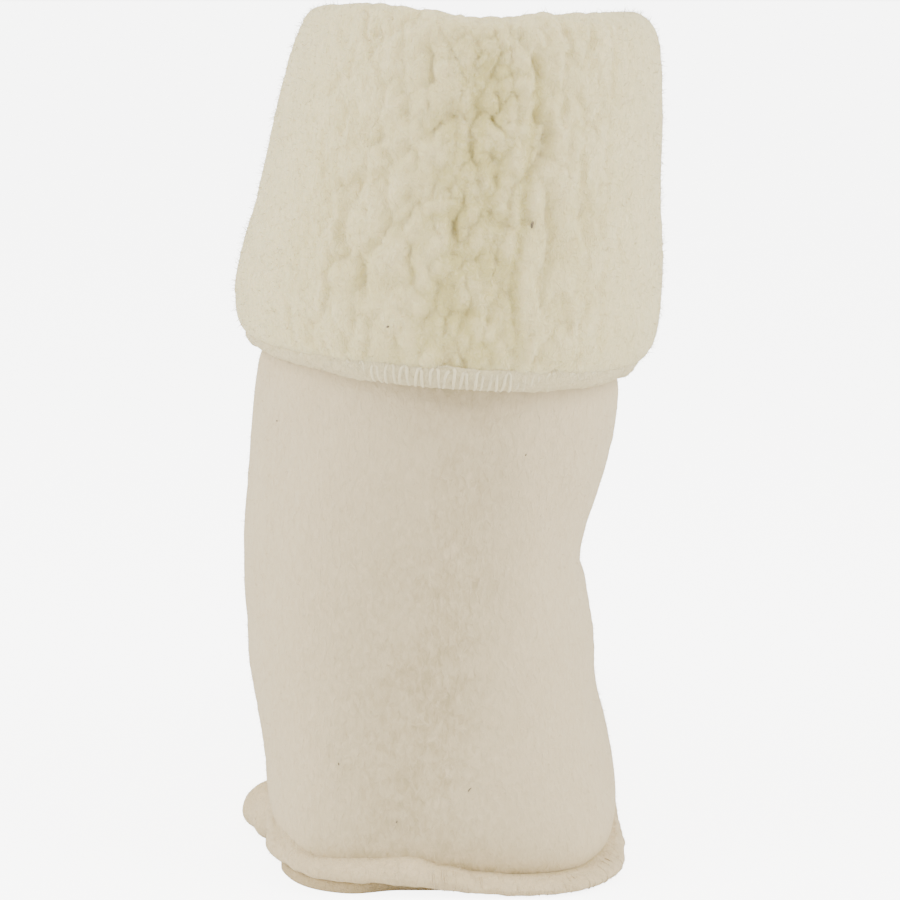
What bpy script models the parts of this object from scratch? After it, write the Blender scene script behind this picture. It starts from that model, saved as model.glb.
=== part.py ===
# A woollen boot liner that stands on its foot: heel at -Y, toe at +Y, the back of the leg towards -Y.
# The leg, foot and cuff are one pile cloth in the real liner. Its curly pile faces in, and out on the cuff.
import bmesh
import bpy
import numpy as np

# Sizes in metres
CLOTH = 0.0042  # felted cloth with its pile pressed flat, the wall of leg and foot
SOLE_THICKNESS = 0.0045
SEAM_GAP = 0.0003  # clear gap between pieces that touch
SEAM_STAND = 0.0006  # the flange's gap from the wall's corners, which leaves SEAM_GAP between them
SOLE_CLEAR = 0.0010  # the flange's least distance out from the wall's cut edge, past the sole's rim
SOLE_EASE = 0.0010  # bevel of the sole's edges
FLANGE_LEAST = 0.0025  # least width of the flange
HEM_TILT = 0.0053  # the hem is this much higher at the left side and lower at the right
BAND_DROP = 0.0004  # from the cuff's cut edge down to the top of the overlocked band's section
CUFF_ROW_PITCH = 0.0062  # from one row of the cuff's pile to the next, down the cloth
PEBBLE_HEIGHT = 0.0013  # soft lumps of the cuff's pile
PEBBLE_PITCH = 0.0156  # down the cloth
PEBBLE_SCATTER = 0.5  # how far a lump's middle strays, as a share of its cell
PEBBLE_FALL = 2.4  # how fast a lump falls off from its middle
FRONT_SEAM_HALF = 0.0028  # half the width of the closing seam
FRONT_SEAM_HEIGHT = 0.0022
FRONT_SEAM_REST = 0.00015  # what its edges stand over SEAM_GAP
CENTRE_X = -0.00015  # moves the middle of the bounding box to x = 0 and y = 0
CENTRE_Y = 0.0656

# Counts
ROUND_UPPER = 62  # points round the upper and the sole seam, closer together at the heel
ROUND_CUFF = 66  # points round the cuff
PEBBLES_ROUND = 36  # lumps of the pile round the cuff
HEEL_BIAS = 0.14
DENSE = 720  # samples of an outline before it is spaced out evenly
TUBE_SQUARE = 2.05  # a circle's is 2

# Outer outline of the upper, from the sole seam up.
# Each row is one ring. Its height runs from z_back to z_front, and tilt is its share of the hem's slope.
# y_wide is where it is widest, n_back and n_front are how square its ends are, x_front is its front tip.
UPPER_COLUMNS = "z_back z_front y_back y_front x_left x_right y_wide n_back n_front x_front tilt"
UPPER_ROWS = (
    (0.0050, 0.0050, -0.0642, 0.2030, -0.0604, 0.0574, 0.032, 5.00, 2.85, -0.001, 0.0),
    (0.0110, 0.0115, -0.0668, 0.2068, -0.0640, 0.0602, 0.032, 4.60, 2.80, -0.001, 0.0),
    (0.0180, 0.0195, -0.0688, 0.2085, -0.0668, 0.0616, 0.031, 4.10, 2.72, -0.001, 0.0),
    (0.0260, 0.0290, -0.0697, 0.2066, -0.0686, 0.0612, 0.029, 3.60, 2.60, -0.002, 0.0),
    (0.0340, 0.0385, -0.0698, 0.2010, -0.0697, 0.0592, 0.026, 3.20, 2.45, -0.003, 0.0),
    (0.0425, 0.0475, -0.0692, 0.1900, -0.0708, 0.0566, 0.023, 2.90, 2.28, -0.004, 0.0),
    (0.0510, 0.0560, -0.0684, 0.1730, -0.0724, 0.0548, 0.019, 2.65, 2.12, -0.005, 0.0),
    (0.0595, 0.0640, -0.0676, 0.1520, -0.0737, 0.0543, 0.015, 2.50, 2.02, -0.006, 0.0),
    (0.0680, 0.0720, -0.0668, 0.1300, -0.0747, 0.0539, 0.011, 2.35, 1.96, -0.007, 0.0),
    (0.0765, 0.0805, -0.0661, 0.1105, -0.0750, 0.0529, 0.007, 2.25, 1.94, -0.008, 0.0),
    (0.0855, 0.0900, -0.0655, 0.0940, -0.0752, 0.0513, 0.004, 2.12, 1.95, -0.009, 0.0),
    (0.0950, 0.1005, -0.0650, 0.0815, -0.0753, 0.0497, 0.002, 2.08, 1.98, -0.010, 0.0),
    (0.1050, 0.1120, -0.0646, 0.0730, -0.0752, 0.0482, 0.001, 2.05, 2.02, -0.011, 0.0),
    (0.1155, 0.1235, -0.0643, 0.0680, -0.0751, 0.0493, 0.000, 2.05, 2.05, -0.011, 0.1),
    (0.1265, 0.1345, -0.0641, 0.0652, -0.0743, 0.0528, 0.000, 2.05, 2.05, -0.010, 0.2),
    (0.1380, 0.1450, -0.0640, 0.0638, -0.0732, 0.0562, 0.000, 2.05, 2.05, -0.008, 0.3),
    (0.1500, 0.1550, -0.0640, 0.0630, -0.0722, 0.0587, 0.000, 2.05, 2.05, -0.006, 0.5),
    (0.1620, 0.1650, -0.0640, 0.0627, -0.0710, 0.0602, 0.000, 2.05, 2.05, -0.005, 0.8),
    (0.1730, 0.1745, -0.0639, 0.0625, -0.0692, 0.0609, 0.000, 2.05, 2.05, -0.004, 1.0),
    (0.1800, 0.1810, -0.0638, 0.0624, -0.0672, 0.0604, 0.000, 2.05, 2.05, -0.003, 1.0),
    (0.1900, 0.1905, -0.0641, 0.0628, -0.0664, 0.0610, 0.000, 2.05, 2.05, -0.002, 1.0),
    (0.2080, 0.2080, -0.0650, 0.0636, -0.0654, 0.0630, 0.000, 2.05, 2.05, 0.000, 0.5),
    (0.2300, 0.2300, -0.0662, 0.0647, -0.0600, 0.0645, 0.000, 2.05, 2.05, 0.003, 0.0),
    (0.2540, 0.2530, -0.0674, 0.0657, -0.0543, 0.0647, 0.000, 2.05, 2.05, 0.006, 0.0),
    (0.2760, 0.2735, -0.0682, 0.0664, -0.0493, 0.0646, 0.000, 2.05, 2.05, 0.008, 0.0),
    (0.2930, 0.2890, -0.0684, 0.0666, -0.0452, 0.0634, 0.000, 2.05, 2.05, 0.009, 0.0),
)

# The long soft trough down the back of the leg: its height, its share of the way round and its depth
TROUGH_COLUMNS = "z share depth"
BACK_TROUGH = (
    (0.024, 0.015, 0.0000),
    (0.046, 0.010, 0.0014),
    (0.067, 0.023, 0.0022),
    (0.088, 0.043, 0.0030),
    (0.120, 0.057, 0.0032),
    (0.150, 0.040, 0.0018),
    (0.170, 0.022, 0.0000),
)
TROUGH_HALF = 0.034  # its half width as a share of the way round

# Rings of the cuff, all the way round its wall: up the inside of the fold, over it, down the pile side
# to the cut edge and up again on the felted side. top and tilt are shares of the top wave and of the
# hem's slope, lump is the share of the pile's lumps.
CUFF_COLUMNS = "z y_back y_front x_left x_right top tilt lump"
CUFF_PILE_ROWS = (
    (0.2933, -0.0642, 0.0624, -0.0410, 0.0592, 0.0, 0.0, 0.0),
    (0.2985, -0.0640, 0.0622, -0.0410, 0.0590, 0.6, 0.0, 0.3),
    (0.3026, -0.0660, 0.0640, -0.0427, 0.0605, 1.0, 0.0, 0.5),
    (0.3048, -0.0702, 0.0680, -0.0462, 0.0642, 1.0, 0.0, 0.6),
    (0.3034, -0.0746, 0.0722, -0.0494, 0.0682, 1.0, 0.0, 0.7),
    (0.2999, -0.0773, 0.0750, -0.0517, 0.0714, 0.9, 0.0, 0.8),
    (0.2952, -0.0784, 0.0761, -0.0538, 0.0732, 0.8, 0.0, 1.0),
    (0.2892, -0.0786, 0.0764, -0.0560, 0.0742, 0.7, 0.0, 1.0),
    (0.2830, -0.0786, 0.0765, -0.0577, 0.0746, 0.5, 0.0, 1.0),
    (0.2768, -0.0785, 0.0764, -0.0594, 0.0748, 0.4, 0.0, 1.0),
    (0.2706, -0.0783, 0.0763, -0.0610, 0.0750, 0.3, 0.0, 1.0),
    (0.2643, -0.0781, 0.0762, -0.0625, 0.0751, 0.2, 0.0, 1.0),
    (0.2580, -0.0779, 0.0760, -0.0639, 0.0750, 0.1, 0.0, 1.0),
    (0.2517, -0.0777, 0.0758, -0.0654, 0.0749, 0.0, 0.0, 1.0),
    (0.2454, -0.0775, 0.0756, -0.0669, 0.0749, 0.0, 0.0, 1.0),
    (0.2391, -0.0773, 0.0754, -0.0683, 0.0750, 0.0, 0.1, 1.0),
    (0.2328, -0.0771, 0.0752, -0.0699, 0.0753, 0.0, 0.2, 1.0),
    (0.2265, -0.0770, 0.0751, -0.0718, 0.0757, 0.0, 0.3, 1.0),
    (0.2202, -0.0769, 0.0750, -0.0736, 0.0760, 0.0, 0.4, 1.0),
    (0.2139, -0.0768, 0.0749, -0.0751, 0.0760, 0.0, 0.6, 1.0),
    (0.2078, -0.0767, 0.0748, -0.0762, 0.0757, 0.0, 0.8, 1.0),
    (0.2018, -0.0765, 0.0746, -0.0768, 0.0752, 0.0, 1.0, 1.0),
    (0.1962, -0.0761, 0.0742, -0.0768, 0.0743, 0.0, 1.0, 0.9),
    (0.1912, -0.0752, 0.0733, -0.0762, 0.0727, 0.0, 1.0, 0.7),
    (0.1872, -0.0738, 0.0719, -0.0746, 0.0700, 0.0, 1.0, 0.4),
    (0.1846, -0.0720, 0.0702, -0.0722, 0.0664, 0.0, 1.0, 0.0),
)
CUFF_FELT_ROWS = (
    (0.1842, -0.0678, 0.0661, -0.0680, 0.0624, 0.0, 1.0, 0.0),
    (0.1960, -0.0682, 0.0665, -0.0690, 0.0645, 0.0, 1.0, 0.0),
    (0.2140, -0.0686, 0.0670, -0.0676, 0.0662, 0.0, 0.6, 0.0),
    (0.2360, -0.0693, 0.0677, -0.0614, 0.0674, 0.0, 0.1, 0.0),
    (0.2580, -0.0700, 0.0684, -0.0562, 0.0676, 0.1, 0.0, 0.0),
    (0.2790, -0.0706, 0.0689, -0.0515, 0.0673, 0.3, 0.0, 0.0),
    (0.2915, -0.0708, 0.0690, -0.0484, 0.0659, 0.5, 0.0, 0.0),
    (0.2966, -0.0701, 0.0683, -0.0472, 0.0650, 0.5, 0.0, 0.0),
    (0.2972, -0.0690, 0.0672, -0.0459, 0.0640, 0.5, 0.0, 0.0),
    (0.2933, -0.0684, 0.0666, -0.0452, 0.0634, 0.0, 0.0, 0.0),
)

# Height of the top fold over its mean, by the share of the way round from the back towards the right
TOP_WAVE_COLUMNS = "share rise"
TOP_WAVE = (
    (0.000, -0.0026),
    (0.075, -0.0012),
    (0.150, -0.0006),
    (0.250, -0.0016),
    (0.400, -0.0042),
    (0.500, -0.0048),
    (0.600, -0.0042),
    (0.750, 0.0000),
    (0.840, 0.0018),
    (0.905, 0.0028),
    (0.960, 0.0000),
)

# The overlocked band below the cuff's cut edge. down is measured from the cut edge, out from its outer line.
BAND_COLUMNS = "down out"
BAND_SECTION = (
    (0.0003, -0.0006),
    (0.0016, -0.0001),
    (0.0036, -0.0006),
    (0.0050, -0.0020),
    (0.0049, -0.0034),
    (0.0034, -0.0042),
    (0.0014, -0.0044),
    (0.0003, -0.0040),
)

# The sole seam as a flange outside the wall. along is the way round from the middle of the heel,
# right positive. bottom and top are its heights, and out is how far it stands out from the wall's cut edge.
SEAM_COLUMNS = "along bottom top out"
SOLE_SEAM = (
    (-0.330, 0.0012, 0.0090, 0.0078),
    (-0.160, 0.0012, 0.0090, 0.0082),
    (-0.134, 0.0014, 0.0104, 0.0084),
    (-0.120, 0.0012, 0.0152, 0.0130),
    (-0.108, 0.0010, 0.0178, 0.0160),
    (-0.097, 0.0020, 0.0168, 0.0140),
    (-0.084, 0.0054, 0.0160, 0.0102),
    (-0.062, 0.0080, 0.0172, 0.0088),
    (-0.028, 0.0058, 0.0152, 0.0090),
    (-0.012, 0.0050, 0.0144, 0.0094),
    (0.003, 0.0030, 0.0118, 0.0098),
    (0.026, 0.0010, 0.0078, 0.0100),
    (0.050, 0.0014, 0.0094, 0.0100),
    (0.072, 0.0012, 0.0102, 0.0086),
    (0.092, 0.0012, 0.0096, 0.0062),
    (0.125, 0.0012, 0.0090, 0.0060),
    (0.330, 0.0012, 0.0090, 0.0074),
)

# Section of the flange, from 0 at the wall to 1 outside and from 0 at its bottom to 1 at its top
SECTION_COLUMNS = "across up"
SEAM_SECTION = (
    (0.00, 0.14),
    (0.00, 0.50),
    (0.00, 0.86),
    (0.45, 1.00),
    (0.86, 0.84),
    (1.00, 0.50),
    (0.86, 0.16),
    (0.45, 0.00),
)

# Section of the closing seam. across runs from -1 to 1, and lift is its share of the seam's height.
FRONT_COLUMNS = "across lift"
FRONT_SECTION = (
    (-1.00, 0.0),
    (-0.95, 0.6),
    (-0.45, 1.0),
    (0.45, 1.0),
    (0.95, 0.6),
    (1.00, 0.0),
)

# Where the closing seam starts and ends: between which row of the upper and the next, and how far
FRONT_START = {"row": 1, "share": 0.25}
FRONT_END = {"row": 18, "share": 0.2}

# How far the sole's edge stands out from the wall's cut edge
SOLE_COLUMNS = "along out"
SOLE_EDGE = (
    (-0.330, 0.0006),
    (-0.086, 0.0006),
    (-0.066, 0.0052),
    (-0.034, 0.0052),
    (-0.016, 0.0006),
    (0.330, 0.0006),
)


def table(columns, rows):
    """Rows of numbers as one array for each named column."""
    return dict(zip(columns.split(), np.array(rows).T))


def row_of(columns, row):
    return dict(zip(columns.split(), row))


def smooth_along(positions, values, at):
    """Values between a table's rows, eased so that each row is a soft turn."""
    index = np.clip(np.searchsorted(positions, at) - 1, 0, len(positions) - 2)
    span = positions[index + 1] - positions[index]
    share = np.clip((at - positions[index]) / span, 0.0, 1.0)
    share = share * share * (3.0 - 2.0 * share)
    return values[index] + (values[index + 1] - values[index]) * share


def shares(count, bias=0.0):
    """Shares of the way round, from the back towards the right, closer together at the back by the bias."""
    even = np.arange(count) / count
    return even - bias * np.sin(2 * np.pi * even) / (2 * np.pi)


def outline(r, share):
    """Points of a rounded outline with the named sizes r, at the given shares of its length."""
    turn = np.linspace(0.0, 2 * np.pi, DENSE + 1)
    at_back = np.cos(turn) > 0
    square = np.where(at_back, r["n_back"], r["n_front"])
    reach = np.abs(np.cos(turn)) ** (2 / square)
    swing = np.sign(np.sin(turn)) * np.abs(np.sin(turn)) ** (2 / square)
    middle = (r["x_right"] + r["x_left"]) / 2
    half = (r["x_right"] - r["x_left"]) / 2
    tip = np.where(at_back, 0.0, r["x_front"] - middle)
    x = middle + half * swing + tip * reach**2
    end = np.where(at_back, r["y_back"], r["y_front"])
    y = r["y_wide"] + (end - r["y_wide"]) * reach
    length = np.concatenate([[0.0], np.cumsum(np.hypot(np.diff(x), np.diff(y)))])
    at = share * length[-1]
    return np.stack([np.interp(at, length, x), np.interp(at, length, y)], axis=1)


def outward(points):
    """Unit normals, pointing out, of a closed outline that runs from the back towards the right."""
    along = np.roll(points, -1, axis=0) - np.roll(points, 1, axis=0)
    normal = np.stack([along[:, 1], -along[:, 0]], axis=1)
    return normal / np.linalg.norm(normal, axis=1, keepdims=True)


def hem_slope(share):
    return -HEM_TILT * np.sin(2 * np.pi * share)


def trough_depth(share, z):
    """How far in the trough at the back pushes points at the given shares and heights."""
    trough = table(TROUGH_COLUMNS, BACK_TROUGH)
    centre = np.interp(z, trough["z"], trough["share"])
    depth = np.interp(z, trough["z"], trough["depth"])
    aside = (share - centre + 0.5) % 1.0 - 0.5
    return depth * np.exp(-((aside / TROUGH_HALF) ** 2))


def upper_rings():
    """Outer rings of leg and foot, an array of rows x points x 3."""
    share = shares(ROUND_UPPER, HEEL_BIAS)
    ahead = 0.5 - 0.5 * np.cos(2 * np.pi * share)
    rings = []
    for row in UPPER_ROWS:
        r = row_of(UPPER_COLUMNS, row)
        flat = outline(r, share)
        z = r["z_back"] + (r["z_front"] - r["z_back"]) * ahead + r["tilt"] * hem_slope(share)
        flat = flat - outward(flat) * trough_depth(share, z)[:, None]
        rings.append(np.column_stack([flat, z]))
    return np.array(rings)


def scatter(i, j, turn):
    """A fixed share from 0 to 1 for each cell of the pile."""
    value = np.sin(i * 12.9898 + j * 78.233 + turn * 37.719) * 43758.5453
    return value - np.floor(value)


def pebbles(share, down):
    """Soft lumps of the pile, -1 to 1, over the way round and the way down in metres."""
    columns = share * PEBBLES_ROUND
    row = down / PEBBLE_PITCH
    cell = np.floor(columns)
    nearest = np.full(len(share), np.inf)
    for j in (np.floor(row) - 1, np.floor(row), np.floor(row) + 1):
        for step in (-1, 0, 1):
            i = (cell + step) % PEBBLES_ROUND
            stagger = 0.5 * (j % 2)
            x = cell + step + 0.5 + stagger + PEBBLE_SCATTER * (scatter(i, j, 0) - 0.5)
            y = j + 0.5 + PEBBLE_SCATTER * (scatter(i, j, 1) - 0.5)
            nearest = np.minimum(nearest, np.hypot(columns - x, row - y))
    return np.clip(1.0 - PEBBLE_FALL * nearest**2, -1.0, 1.0)


def cuff_ring(row, share, down):
    r = row_of(CUFF_COLUMNS, row)
    tube = {"y_wide": 0.0, "n_back": TUBE_SQUARE, "n_front": TUBE_SQUARE}
    tube["x_front"] = (r["x_left"] + r["x_right"]) / 2
    flat = outline({**r, **tube}, share)
    lump = r["lump"] * PEBBLE_HEIGHT * pebbles(share, down)
    flat = flat + outward(flat) * lump[:, None]
    wave = table(TOP_WAVE_COLUMNS, TOP_WAVE + ((1.0, TOP_WAVE[0][1]),))
    top = r["top"] * smooth_along(wave["share"], wave["rise"], share)
    return np.column_stack([flat, r["z"] + top + r["tilt"] * hem_slope(share)])


def cuff_rings():
    """Rings of the cuff round its whole wall, pile side first."""
    share = shares(ROUND_CUFF)
    rings = []
    for i, row in enumerate(CUFF_PILE_ROWS):
        rings.append(cuff_ring(row, share, i * CUFF_ROW_PITCH))
    for row in CUFF_FELT_ROWS:
        rings.append(cuff_ring(row, share, 0.0))
    return np.array(rings)


def along_edge(ring):
    """Way round a ring from its first point, the left half negative."""
    step = np.linalg.norm(np.roll(ring, -1, axis=0) - ring, axis=1)
    way = np.concatenate([[0.0], np.cumsum(step)[:-1]])
    return np.where(way > step.sum() / 2, way - step.sum(), way)


def wall_at(rings, z):
    """Outline of the upper at given heights near its cut edge, one height for each point."""
    flat = rings[0][:, :2].copy()
    for low, high in zip(rings[:4], rings[1:5]):
        share = (z - low[:, 2]) / (high[:, 2] - low[:, 2])
        between = low[:, :2] + (high - low)[:, :2] * np.minimum(share, 1.0)[:, None]
        flat = np.where((share > 0)[:, None], between, flat)
    return flat


def sole_seam_rings(rings):
    """Rings of the flange: three up the wall, then over the top, down outside and back under."""
    base = rings[0][:, :2]
    normal = outward(base)
    seam = table(SEAM_COLUMNS, SOLE_SEAM)
    way = along_edge(rings[0])
    bottom = smooth_along(seam["along"], seam["bottom"], way)
    top = smooth_along(seam["along"], seam["top"], way)
    out = smooth_along(seam["along"], seam["out"], way)
    made = []
    for row in SEAM_SECTION:
        r = row_of(SECTION_COLUMNS, row)
        z = bottom + (top - bottom) * r["up"]
        wall = wall_at(rings, z)
        stand = ((wall - base) * normal).sum(axis=1)
        near = np.maximum(SEAM_STAND, SOLE_CLEAR - stand)
        far = np.maximum(out - stand, near + FLANGE_LEAST)
        made.append(np.column_stack([wall + normal * (near + (far - near) * r["across"])[:, None], z]))
    return np.array(made)


def band_rings():
    """Rings of the cuff's overlocked band, under its cut edge."""
    share = shares(ROUND_CUFF)
    edge = cuff_ring(CUFF_PILE_ROWS[-1], share, 0.0)
    normal = outward(edge[:, :2])
    made = []
    for row in BAND_SECTION:
        r = row_of(BAND_COLUMNS, row)
        z = edge[:, 2] - BAND_DROP - r["down"]
        made.append(np.column_stack([edge[:, :2] + normal * r["out"], z]))
    return np.array(made)


def front_seam_rings(rings):
    """Sections of the closing seam on the front line of the upper, from the sole seam to the hem."""
    middle = ROUND_UPPER // 2
    line = rings[:, middle]
    side = rings[:, middle - 1] - rings[:, middle + 1]
    side = side / np.linalg.norm(side, axis=1, keepdims=True)
    tangent = np.gradient(line, axis=0)
    normal = np.cross(tangent, side)
    normal = normal / np.linalg.norm(normal, axis=1, keepdims=True)
    first = FRONT_START["row"]
    last = FRONT_END["row"]
    start = line[first] + (line[first + 1] - line[first]) * FRONT_START["share"]
    end = line[last] + (line[last + 1] - line[last]) * FRONT_END["share"]
    line = np.concatenate([[start], line[first + 1 : last + 1], [end]])
    side = np.concatenate([side[first : last + 1], [side[last]]])
    normal = np.concatenate([normal[first : last + 1], [normal[last]]])
    made = []
    for row in FRONT_SECTION:
        r = row_of(FRONT_COLUMNS, row)
        rise = SEAM_GAP + max(FRONT_SEAM_REST, FRONT_SEAM_HEIGHT * r["lift"])
        made.append(line + side * r["across"] * FRONT_SEAM_HALF + normal * rise)
    return np.array(made)


def new_object(name, mesh, collection, material):
    obj = bpy.data.objects.new(name, mesh)
    collection.objects.link(obj)
    mesh.materials.append(material)
    return obj


def loft(name, rings, closed_rows, capped=False):
    """Mesh of quads over closed rings of points. The last row can run on into the first, or be capped."""
    rows, count = rings.shape[:2]
    points = rings.reshape(-1, 3) - np.array([CENTRE_X, CENTRE_Y, 0.0])
    faces = []
    for i in range(rows if closed_rows else rows - 1):
        for j in range(count):
            i2 = (i + 1) % rows
            j2 = (j + 1) % count
            faces.append((i * count + j, i * count + j2, i2 * count + j2, i2 * count + j))
    mesh = bpy.data.meshes.new(name)
    mesh.from_pydata(points.tolist(), [], faces)
    form = bmesh.new()
    form.from_mesh(mesh)
    if capped:
        bmesh.ops.edgeloop_fill(form, edges=[e for e in form.edges if e.is_boundary])
    bmesh.ops.recalc_face_normals(form, faces=form.faces[:])
    form.to_mesh(mesh)
    form.free()
    mesh.update()
    return mesh


def sole_mesh(name, rings):
    """Flat oval of cloth, its outline a little outside the wall's cut edge, with eased edges."""
    edge = table(SOLE_COLUMNS, SOLE_EDGE)
    base = rings[0][:, :2]
    out = smooth_along(edge["along"], edge["out"], along_edge(rings[0]))
    flat = base + outward(base) * out[:, None] - np.array([CENTRE_X, CENTRE_Y])
    form = bmesh.new()
    corners = [form.verts.new((x, y, 0.0)) for x, y in flat]
    face = form.faces.new(corners)
    raised = bmesh.ops.extrude_face_region(form, geom=[face])
    top = [v for v in raised["geom"] if isinstance(v, bmesh.types.BMVert)]
    bmesh.ops.translate(form, verts=top, vec=(0.0, 0.0, SOLE_THICKNESS))
    bmesh.ops.recalc_face_normals(form, faces=form.faces[:])
    rims = [e for e in form.edges if e.verts[0].co.z == e.verts[1].co.z]
    bmesh.ops.bevel(form, geom=rims, offset=SOLE_EASE, segments=1, profile=0.5, affect="EDGES")
    mesh = bpy.data.meshes.new(name)
    form.to_mesh(mesh)
    form.free()
    return mesh


def fabric(name, colour, roughness):
    material = bpy.data.materials.new(name)
    material.use_nodes = True
    shader = material.node_tree.nodes["Principled BSDF"]
    shader.inputs["Base Color"].default_value = (*colour, 1.0)
    shader.inputs["Roughness"].default_value = roughness
    shader.inputs["Sheen Weight"].default_value = 0.3
    return material


def build():
    for old in list(bpy.data.objects):
        bpy.data.objects.remove(old, do_unlink=True)
    liner = bpy.data.collections.new("boot_liner")
    bpy.context.scene.collection.children.link(liner)
    felt = fabric("felted_wool", (0.64, 0.59, 0.49), 0.95)
    pile = fabric("wool_pile", (0.66, 0.61, 0.49), 1.0)
    hem_thread = fabric("hem_thread", (0.70, 0.66, 0.56), 0.8)
    sole_felt = fabric("sole_wool", (0.60, 0.55, 0.45), 0.95)
    seam_felt = fabric("seam_wool", (0.64, 0.59, 0.49), 0.9)
    seam_thread = fabric("seam_thread", (0.70, 0.66, 0.56), 0.8)

    upper = upper_rings()
    leg = new_object("upper", loft("upper", upper, closed_rows=False), liner, felt)
    wall = leg.modifiers.new("wall", "SOLIDIFY")
    wall.thickness = CLOTH
    wall.offset = -1.0
    wall.use_even_offset = True
    wall.use_rim = True

    cuff = loft("cuff", cuff_rings(), closed_rows=True)
    new_object("cuff", cuff, liner, pile)
    hem = loft("cuff_hem", band_rings(), closed_rows=True)
    new_object("cuff_hem", hem, liner, hem_thread)

    new_object("sole", sole_mesh("sole", upper), liner, sole_felt)
    flange = loft("sole_seam", sole_seam_rings(upper), closed_rows=True)
    new_object("sole_seam", flange, liner, seam_felt)
    front = front_seam_rings(upper).transpose(1, 0, 2)
    strip = loft("front_seam", front, closed_rows=False, capped=True)
    new_object("front_seam", strip, liner, seam_thread)


build()
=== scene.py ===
import math
import bmesh
import bpy
import numpy as np
from mathutils import Matrix, Vector
from mathutils.bvhtree import BVHTree


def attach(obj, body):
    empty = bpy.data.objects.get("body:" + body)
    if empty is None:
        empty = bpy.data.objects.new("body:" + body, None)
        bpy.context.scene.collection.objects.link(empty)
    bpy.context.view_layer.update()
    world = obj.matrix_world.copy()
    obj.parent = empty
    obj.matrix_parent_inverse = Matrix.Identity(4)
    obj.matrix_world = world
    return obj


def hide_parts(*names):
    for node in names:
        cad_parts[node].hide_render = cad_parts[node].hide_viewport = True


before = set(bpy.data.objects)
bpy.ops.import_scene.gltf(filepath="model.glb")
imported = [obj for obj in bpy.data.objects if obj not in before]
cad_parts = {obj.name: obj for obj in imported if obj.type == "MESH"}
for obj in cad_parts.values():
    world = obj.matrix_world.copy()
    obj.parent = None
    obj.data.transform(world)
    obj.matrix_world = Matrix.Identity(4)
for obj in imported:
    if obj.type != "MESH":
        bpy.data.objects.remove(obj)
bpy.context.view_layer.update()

# Metres. The heel is at -y and the toe at +y. The tables below have their own middle in the leg.
liner = {
    "middle": (-0.00015, 0.0656, 0.0),  # taken off the tables' points, so that the whole liner is centred
    "hemTilt": 0.0053,  # the hem is higher at the left side and lower at the right
    "wall": 0.0042,  # felt with its inner pile pressed flat
    "samples": 720,  # points of an outline before it is spaced out
    "tubeSquare": 2.05,  # how square the cuff is, 2 is an ellipse
    "grooveEnd": 0.35,  # depth of a trough at its two ends, as a share of its full depth
}

# Values that change softly


def columns(names, rows):
    return dict(zip(names.split(), np.array(rows, dtype=float).T))


def between(table, name, at):  # a soft curve through a table's rows, at row numbers with fractions
    values = table[name]
    low = np.clip(np.floor(at).astype(int), 0, len(values) - 2)
    t = at - low
    p0 = values[np.maximum(low - 1, 0)]
    p1 = values[low]
    p2 = values[low + 1]
    p3 = values[np.minimum(low + 2, len(values) - 1)]
    bend = 2 * p0 - 5 * p1 + 4 * p2 - p3
    twist = 3 * p1 - p0 - 3 * p2 + p3
    return p1 + 0.5 * t * (p2 - p0 + t * (bend + t * twist))


def roundSection(table, at):  # every column of a closed section, at row numbers that run on past its end
    closed = {name: np.concatenate([v[-2:], v, v[:3]]) for name, v in table.items()}
    count = len(next(iter(table.values())))
    return {name: between(closed, name, 2 + at % count) for name in table}


def eased(positions, values, at):  # values between points, each point a soft turn
    index = np.clip(np.searchsorted(positions, at) - 1, 0, len(positions) - 2)
    share = np.clip((at - positions[index]) / (positions[index + 1] - positions[index]), 0.0, 1.0)
    share = share * share * (3.0 - 2.0 * share)
    return values[index] + (values[index + 1] - values[index]) * share


def smoothStep(low, high, x):
    share = np.clip((x - low) / (high - low), 0.0, 1.0)
    return share * share * (3.0 - 2.0 * share)


def unit(vectors):
    return vectors / np.maximum(np.linalg.norm(vectors, axis=-1, keepdims=True), 1e-9)


def scatter(i, j, turn):  # a fixed share from 0 to 1 for each cell
    value = np.sin(i * 12.9898 + j * 78.233 + turn * 37.719) * 43758.5453
    return value - np.floor(value)


def softNoise(x, y, wrap, turn):  # from -1 to 1, and closes after wrap cells in x
    i = np.floor(x)
    j = np.floor(y)
    u = (x - i) ** 2 * (3.0 - 2.0 * (x - i))
    v = (y - j) ** 2 * (3.0 - 2.0 * (y - j))
    low = scatter(i % wrap, j, turn) * (1 - u) + scatter((i + 1) % wrap, j, turn) * u
    high = scatter(i % wrap, j + 1, turn) * (1 - u) + scatter((i + 1) % wrap, j + 1, turn) * u
    return 2.0 * (low * (1 - v) + high * v) - 1.0


def unevenness(noises, round2, down2):  # soft noises added up: height, cells round, pitch down and turn
    return sum(height * softNoise(round2 * cells, down2 / pitch, cells, turn)
               for height, cells, pitch, turn in noises)


# Rings of cloth. A share of the way round is 0 at the middle of the back, 0.25 at the right and 0.5 in front


def outline(r, share):
    turn = np.linspace(0.0, 2 * np.pi, liner["samples"] + 1)
    atBack = np.cos(turn) > 0
    square = np.where(atBack, r["nBack"], r["nFront"])
    reach = np.abs(np.cos(turn)) ** (2 / square)
    swing = np.sign(np.sin(turn)) * np.abs(np.sin(turn)) ** (2 / square)
    middle = (r["xRight"] + r["xLeft"]) / 2
    half = (r["xRight"] - r["xLeft"]) / 2
    x = middle + half * swing + np.where(atBack, 0.0, r["xFront"] - middle) * reach**2
    y = r["yWide"] + (np.where(atBack, r["yBack"], r["yFront"]) - r["yWide"]) * reach
    length = np.concatenate([[0.0], np.cumsum(np.hypot(np.diff(x), np.diff(y)))])
    at = (share % 1.0) * length[-1]
    return np.stack([np.interp(at, length, x), np.interp(at, length, y)], axis=-1)


def hemSlope(share):
    return -liner["hemTilt"] * np.sin(2 * np.pi * share)


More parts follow.
